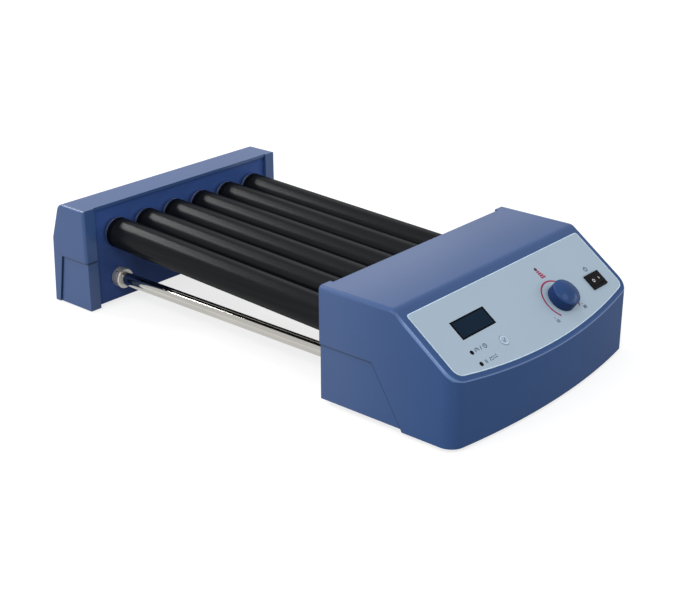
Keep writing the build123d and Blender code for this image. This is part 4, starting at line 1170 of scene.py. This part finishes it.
@dataclass
class PanelPrint:
    """Everything printed on the film and the controls: border, speed arc, plain numbers and small signs.

    Attributes:
        border_inset: distance of the pale border's middle from the film's edge.
        numbers: name, text and place from the knob's centre of the number at each end of the arc.
        tick: start and end of the tick beside a number, from the number's place.
        number_weight: how much bolder the numbers are, as a share of their height.
        bar_row: the red bars' count, and their pitch, width, first length and rise from bar to bar.
        bar_start: place of the first bar from the knob's centre.
        spot: radius and line width of the dark red spot.
        spot_offset: the spot's place from the first bar.
        sign_gap: distance of the first sign from its indicator.
        key_margin: distance of the key's ring from the key's edge.
        power: size and line width of the power sign.
        rocker_ring: radius and line width of the ring on the rocker.
        rocker_bar: half length and line width of the bar on the rocker.
    """

    slope: SlopeFace
    ribbon: GeometryTree
    bars: GeometryTree
    ink_height: float = 0.06 * MM
    line_width: float = 0.65 * MM
    border_width: float = 0.8 * MM
    border_inset: float = 0.52 * MM
    arc_radius: float = 19.4 * MM
    arc_width: float = 1.6 * MM
    arc_start: float = 222.0
    arc_sweep: float = -265.0
    numbers: tuple[tuple[str, str, Point2], ...] = (("speed_low", "10", (-23.0 * MM, -16.0 * MM)),
                                                    ("speed_high", "80", (19.6 * MM, -16.6 * MM)))
    tick: tuple[Point2, Point2] = ((-1.2 * MM, 3.2 * MM), (-0.2 * MM, 4.4 * MM))
    number_size: float = 4.6 * MM
    number_weight: float = 0.02
    bar_row: tuple[int, float, float, float, float] = (4, 2.1 * MM, 1.6 * MM, 3.7 * MM, 0.9 * MM)
    bar_start: Point2 = (-0.9 * MM, 30.8 * MM)
    spot: Point2 = (0.9 * MM, 1.75 * MM)
    spot_offset: Point2 = (1.7 * MM, 2.9 * MM)
    sign_size: float = 1.9 * MM
    sign_gap: float = 6.6 * MM
    sign_pitch: float = 5.4 * MM
    key_margin: float = 0.8 * MM
    tick_width: float = 0.91 * MM
    power_up: float = 13.4 * MM
    power: Point2 = (2.1 * MM, 0.845 * MM)
    rocker_ring: Point2 = (1.35 * MM, 0.75 * MM)
    rocker_bar: Point2 = (1.2 * MM, 0.55 * MM)
    inks: dict[Ink, Material] = field(init=False)

    def __post_init__(self) -> None:
        """Mixes the inks."""
        self.inks = {ink: ink.finish().material() for ink in Ink}

    def lines(self, name: str, strokes: Sequence[Stroke], width: float, ink: Ink, place: Matrix,
              body: Body = Body.HOUSING) -> None:
        """Prints lines on a flat face.

        Args:
            name: name of the piece.
            strokes: the lines.
            width: width of each line.
            ink: the ink.
            place: matrix from the flat work to the face.
            body: body that carries them.
        """
        curve = bpy.data.curves.new(name, "CURVE")
        curve.dimensions = "3D"
        for stroke in strokes:
            spline = curve.splines.new("POLY")
            spline.points.add(len(stroke.points) - 1)
            for point, (x, y) in zip(spline.points, stroke.points):
                point.co = (x, y, self.ink_height / 2, 1.0)
            spline.use_cyclic_u = stroke.ends.value
        values = {"Width": width, "Height": self.ink_height, "Material": self.inks[ink]}
        seated(grown(linked(name + "_lines", curve), self.ribbon, values, name, place), body)

    def words(self, name: str, text: str, ink: Ink, centre: Vector) -> None:
        """Prints plain characters centred on a point of the film.

        Args:
            name: name of the piece.
            text: the characters.
            ink: the ink.
            centre: point of the model under their middle.
        """
        curve = bpy.data.curves.new(name, "FONT")
        curve.body = text
        curve.size = self.number_size
        curve.extrude = self.ink_height / 2
        curve.offset = self.number_weight * self.number_size
        curve.align_x = "CENTER"
        curve.align_y = "CENTER"
        piece = converted(linked(name + "_text", curve), name, self.slope.at(centre, self.ink_height / 2))
        piece.data.materials.clear()
        piece.data.materials.append(self.inks[ink])
        seated(piece, Body.HOUSING)

    def film_border(self) -> None:
        """Pale line just inside the film's outer edge."""
        edge = Stroke(inset_loop(self.slope.outer_loop("panel_overlay"), self.border_inset), Ends.CLOSED)
        self.lines("film_border", [edge], self.border_width, Ink.PALE, self.slope.at(self.slope.knob))

    def speed_scale(self) -> None:
        """Red arc round the knob with a number and a tick near each end."""
        on_film = self.slope.at(self.slope.knob)
        sweep = Stroke(arc(self.arc_radius, self.arc_start, self.arc_sweep, steps=96))
        self.lines("speed_arc", [sweep], self.arc_width, Ink.RED, on_film)
        for name, text, (x, y) in self.numbers:
            self.words(name, text, Ink.SLATE, self.slope.spot(x, y))
            tick = Stroke([(x + across, y + up) for across, up in self.tick])
            self.lines(name + "_tick", [tick], self.line_width, Ink.SLATE, on_film)

    def speed_sign(self) -> None:
        """Row of red bars that grow down the slope, below a darker spot."""
        count, pitch, width, first, rise = self.bar_row
        values = {"Count": count, "Pitch": pitch, "Width": width, "First": first, "Rise": rise,
                  "Height": self.ink_height, "Material": self.inks[Ink.RED]}
        start = self.slope.spot(*self.bar_start)
        place = self.slope.at(start, self.ink_height / 2) @ Matrix.Rotation(-math.pi / 2, 4, "Z")
        seed = linked("speed_bars_seed", bpy.data.meshes.new("speed_bars_seed"))
        seated(grown(seed, self.bars, values, "speed_bars", place), Body.HOUSING)
        radius, line = self.spot
        across, up = self.spot_offset
        centre = start + Vector((across, 0, 0)) + self.slope.up * up
        self.lines("speed_spot", [ring(radius, 24)], line, Ink.DEEP_RED, self.slope.at(centre))

    def indicator_signs(self) -> None:
        """Gauge and clock beside the upper indicator, pause bars and two arrows beside the lower one."""
        first, slash, second = (self.sign_gap + i * self.sign_pitch for i in range(3))
        upper, lower = self.slope.pair_centres("indicator_lenses")
        for name, left, right, centre in (("timer_sign", Sign.GAUGE, Sign.CLOCK, upper),
                                          ("reverse_sign", Sign.PAUSE, Sign.ARROWS, lower)):
            row = ((Sign.SLASH, slash), (left, first), (right, second))
            strokes = [stroke for sign, across in row for stroke in sign.at(self.sign_size, across)]
            self.lines(name, strokes, self.line_width, Ink.SLATE, self.slope.at(centre))

    def key_sign(self) -> None:
        """Ring and tick on the key's top, which ride with it."""
        centre = self.slope.centre("set_button")
        top = max(self.slope.heights("set_button"))
        face = [p for p in points("set_button") if p.dot(self.slope.out) > top - NEAR]
        radius = max(p.x for p in face) - centre.x
        on_key = self.slope.at(centre, top - self.slope.film_face)
        edge = ring(radius - self.key_margin, 48)
        self.lines("key_ring", [edge], self.line_width, Ink.PALE, on_key, Body.KEY)
        self.lines("key_tick", Sign.TICK.at(radius), self.tick_width, Ink.KEY_BLUE, on_key, Body.KEY)

    def power_sign(self) -> None:
        """Broken ring with a bar through its gap above the rocker switch."""
        size, line = self.power
        centre = self.slope.centre("power_switch_body") + self.slope.up * self.power_up
        self.lines("power_sign", Sign.POWER.at(size), line, Ink.SLATE, self.slope.at(centre))

    def rocker_marks(self) -> None:
        """White ring and bar on the rocker's two top faces, which ride with it."""
        ring_face, bar_face = self.slope.tops("power_rocker")
        radius, ring_line = self.rocker_ring
        half, bar_line = self.rocker_bar
        self.lines("rocker_ring", [ring(radius)], ring_line, Ink.WHITE, ring_face, Body.ROCKER)
        self.lines("rocker_bar", Sign.BAR.at(half), bar_line, Ink.WHITE, bar_face, Body.ROCKER)

    def build(self) -> None:
        """Prints everything."""
        self.film_border()
        self.speed_scale()
        self.speed_sign()
        self.indicator_signs()
        self.key_sign()
        self.power_sign()
        self.rocker_marks()


# Sub-assemblies


@dataclass
class Housing:
    """Blue covers, lower casings and inner panels, with their screws and feet."""

    palette: Palette
    casings: tuple[str, ...] = ("head_cover", "head_base", "tail_cover", "tail_base")
    panels: tuple[str, ...] = ("head_panel", "tail_panel")
    feet: tuple[str, ...] = ("head_feet", "tail_feet")

    def build(self) -> None:
        """Dresses the casings, panels, screws and feet."""
        dress(self.casings, self.palette.casing())
        dress(self.panels, self.palette.inner_panel())
        dress(["case_screws"], self.palette.zinc())
        dress(self.feet, self.palette.feet())


@dataclass
class RollerBed:
    """Rollers with their bearings, the bearing plates and the tie rods."""

    palette: Palette
    count: int = ROLLER_COUNT

    def build(self) -> None:
        """Dresses every piece of the bed."""
        rollers = range(1, self.count + 1)
        dress([f"roller_{i}_sleeve" for i in rollers], self.palette.sleeve())
        dress([f"roller_{i}_core" for i in rollers] + ["head_bearings", "tail_bearings"],
              self.palette.ground_steel())
        dress(["head_bearing_plate", "tail_bearing_plate"], self.palette.aluminium())
        dress(["tie_rods"], self.palette.rod())
        dress(["rod_collars"], self.palette.collar())
        dress(["collar_screws", "rod_nuts"], self.palette.zinc())


@dataclass
class DriveTrain:
    """Gears, gearmotor and what carries them inside the head."""

    palette: Palette
    roller_count: int = ROLLER_COUNT

    def build(self) -> None:
        """Dresses the gears, the motor and its fixings."""
        gears = [f"roller_{i}_gear" for i in range(1, self.roller_count + 1)]
        gears += [f"idler_gear_{i}" for i in range(1, self.roller_count)]
        dress(gears + ["motor_pinion"], self.palette.acetal())
        dress(["gearmotor"], self.palette.motor_can())
        dress(["motor_plate", "plate_standoffs", "motor_screws", "idler_pins"], self.palette.zinc())


@dataclass
class Controls:
    """Film, window, knob, key, indicators and rocker, with the board behind them."""

    palette: Palette
    prints: PanelPrint
    mouldings: tuple[str, ...] = ("power_switch_body", "power_rocker", "dc_inlet", "display_module",
                                  "set_switch")

    def build(self) -> None:
        """Dresses the controls and prints the panel."""
        dress(["panel_overlay", "set_button"], self.palette.film())
        dress(["display_window"], self.palette.window())
        dress(["speed_knob"], self.palette.knob())
        dress(["speed_shaft"], self.palette.ground_steel())
        dress(["indicator_lenses"], self.palette.lens())
        dress(self.mouldings, self.palette.black_moulding())
        dress(["speed_potentiometer"], self.palette.motor_can())
        dress(["control_board"], self.palette.board())
        dress(["board_screws"], self.palette.zinc())
        self.prints.build()


# Studio


@dataclass(frozen=True)
class Softbox:
    """Oblong lamp that shines from one point to another."""

    name: str
    place: Point3
    target: Point3
    size: Point2
    power: float

    def build(self) -> None:
        """Adds the lamp."""
        data = bpy.data.lights.new(self.name, "AREA")
        data.shape = "RECTANGLE"
        data.size, data.size_y = self.size
        data.energy = self.power
        linked(self.name, data).matrix_world = aimed(self.place, self.target)


@dataclass
class Studio:
    """Pale floor, white surroundings, soft lamps and the camera.

    Attributes:
        sky: strength of the surroundings as light on the object.
        floor_cloud: how much lighter the floor's clouds are, as a factor.
        floor_glow: strength of the white that the floor shows by the object.
        shadow_reach: distances from the middle between which that white goes up to 1.
        lens: the camera's focal length in millimetres.
    """

    sky: float = 0.50
    floor_side: float = 14.0
    floor_tone: float = 0.34
    floor_patch: float = 0.4
    floor_cloud: float = 1.01
    floor_glow: float = 0.74
    shadow_reach: Span = (0.45, 1.1)
    lamps: tuple[Softbox, ...] = (
        Softbox("key_softbox", (-1.17, -0.63, 1.25), (0.0, 0.0, 0.05), (0.5, 0.5), 7.5),
        Softbox("front_softbox", (0.2, -1.3, 1.3), (0.0, -0.1, 0.05), (0.6, 0.6), 4.0),
        Softbox("rear_softbox", (-0.1, 1.33, 1.20), (0.0, 0.05, 0.05), (1.0, 0.3), 15.0),
        Softbox("top_softbox", (-0.3, 0.2, 1.8), (0.0, 0.0, 0.0), (0.8, 0.8), 2.0),
        Softbox("left_softbox", (-1.65, 0.4, 0.65), (0.0, 0.0, 0.05), (0.6, 0.6), 11.0),
        Softbox("strip_softbox", (1.2, -1.5, 0.5), (0.0, -0.2, 0.06), (1.8, 0.2), 6.5),
        Softbox("deck_softbox", (0.97, 0.77, 0.67), (-0.1, -0.12, 0.1), (0.35, 0.35), 0.3),
    )
    eye: Point3 = (-0.8860, -0.7742, 0.5191)
    target: Point3 = (-0.0502, -0.0649, 0.0590)
    lens: float = 69.23

    @staticmethod
    def seen_share(sketch: NodeSketch) -> Socket:
        """Tells rays that show the surroundings from those that only light the object.

        Args:
            sketch: node tree of the world or the floor.

        Returns:
            1 for camera, glossy and transmission rays, otherwise 0.
        """
        path = sketch.add("ShaderNodeLightPath").outputs
        seen = sketch.maths("MAXIMUM", path["Is Camera Ray"], path["Is Glossy Ray"])
        return sketch.maths("MAXIMUM", seen, path["Is Transmission Ray"])

    def surroundings(self) -> None:
        """White world that lights the object at a plain level."""
        world = bpy.data.worlds.new("Studio_World")
        world.use_nodes = True
        sketch = NodeSketch(world.node_tree)
        background = next(n for n in sketch.tree.nodes if n.type == "BACKGROUND")
        background.inputs["Color"].default_value = (1, 1, 1, 1)
        level = sketch.ranged(self.seen_share(sketch), 0.0, 1.0, self.sky, 1.0)
        sketch.tree.links.new(level, background.inputs["Strength"])
        bpy.context.scene.world = world

    def floor(self) -> None:
        """Pale floor that shows as white away from the object's shadow."""
        half = self.floor_side / 2
        corners = [(-half, -half, 0), (half, -half, 0), (half, half, 0), (-half, half, 0)]
        mesh = bpy.data.meshes.new("studio_floor")
        mesh.from_pydata(corners, [], [(0, 1, 2, 3)])
        floor = linked("studio_floor", mesh)
        sketch = ShaderTree("Studio_Floor")
        clouds = sketch.noise(sketch.place(), self.floor_patch)
        tone = sketch.blend(clouds, (self.floor_tone,) * 3, (self.floor_tone * self.floor_cloud,) * 3)
        matt = sketch.add("ShaderNodeBsdfDiffuse", {"Color": tone})
        away = sketch.add("ShaderNodeVectorMath", {0: sketch.place()}, operation="LENGTH").outputs["Value"]
        level = sketch.ranged(away, *self.shadow_reach, self.floor_glow, 1.0)
        share = sketch.maths("MULTIPLY", self.seen_share(sketch), level)
        glow = sketch.add("ShaderNodeEmission", {"Strength": share})
        both = sketch.add("ShaderNodeAddShader", {0: matt.outputs[0], 1: glow.outputs[0]})
        mesh.materials.append(sketch.finish(both))

    def camera(self) -> None:
        """Camera at the photograph's angle and distance."""
        data = bpy.data.cameras.new("photo_camera")
        data.lens = self.lens
        camera = linked("photo_camera", data)
        camera.matrix_world = aimed(self.eye, self.target)
        bpy.context.scene.camera = camera

    def build(self) -> None:
        """Sets up everything round the object."""
        bpy.context.scene.view_settings.view_transform = "Standard"
        self.surroundings()
        self.floor()
        for lamp in self.lamps:
            lamp.build()
        self.camera()


def main() -> None:
    """Builds the studio, then dresses each sub-assembly in order."""
    logging.basicConfig(level=logging.INFO, format="%(message)s")
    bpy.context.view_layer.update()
    Studio().build()
    slope = SlopeFace.measured()
    palette = Palette.measured(slope)
    Housing(palette).build()
    RollerBed(palette).build()
    DriveTrain(palette).build()
    Controls(palette, PanelPrint(slope, ribbon_tree(), bar_row_tree())).build()


if __name__ == "__main__":
    main()
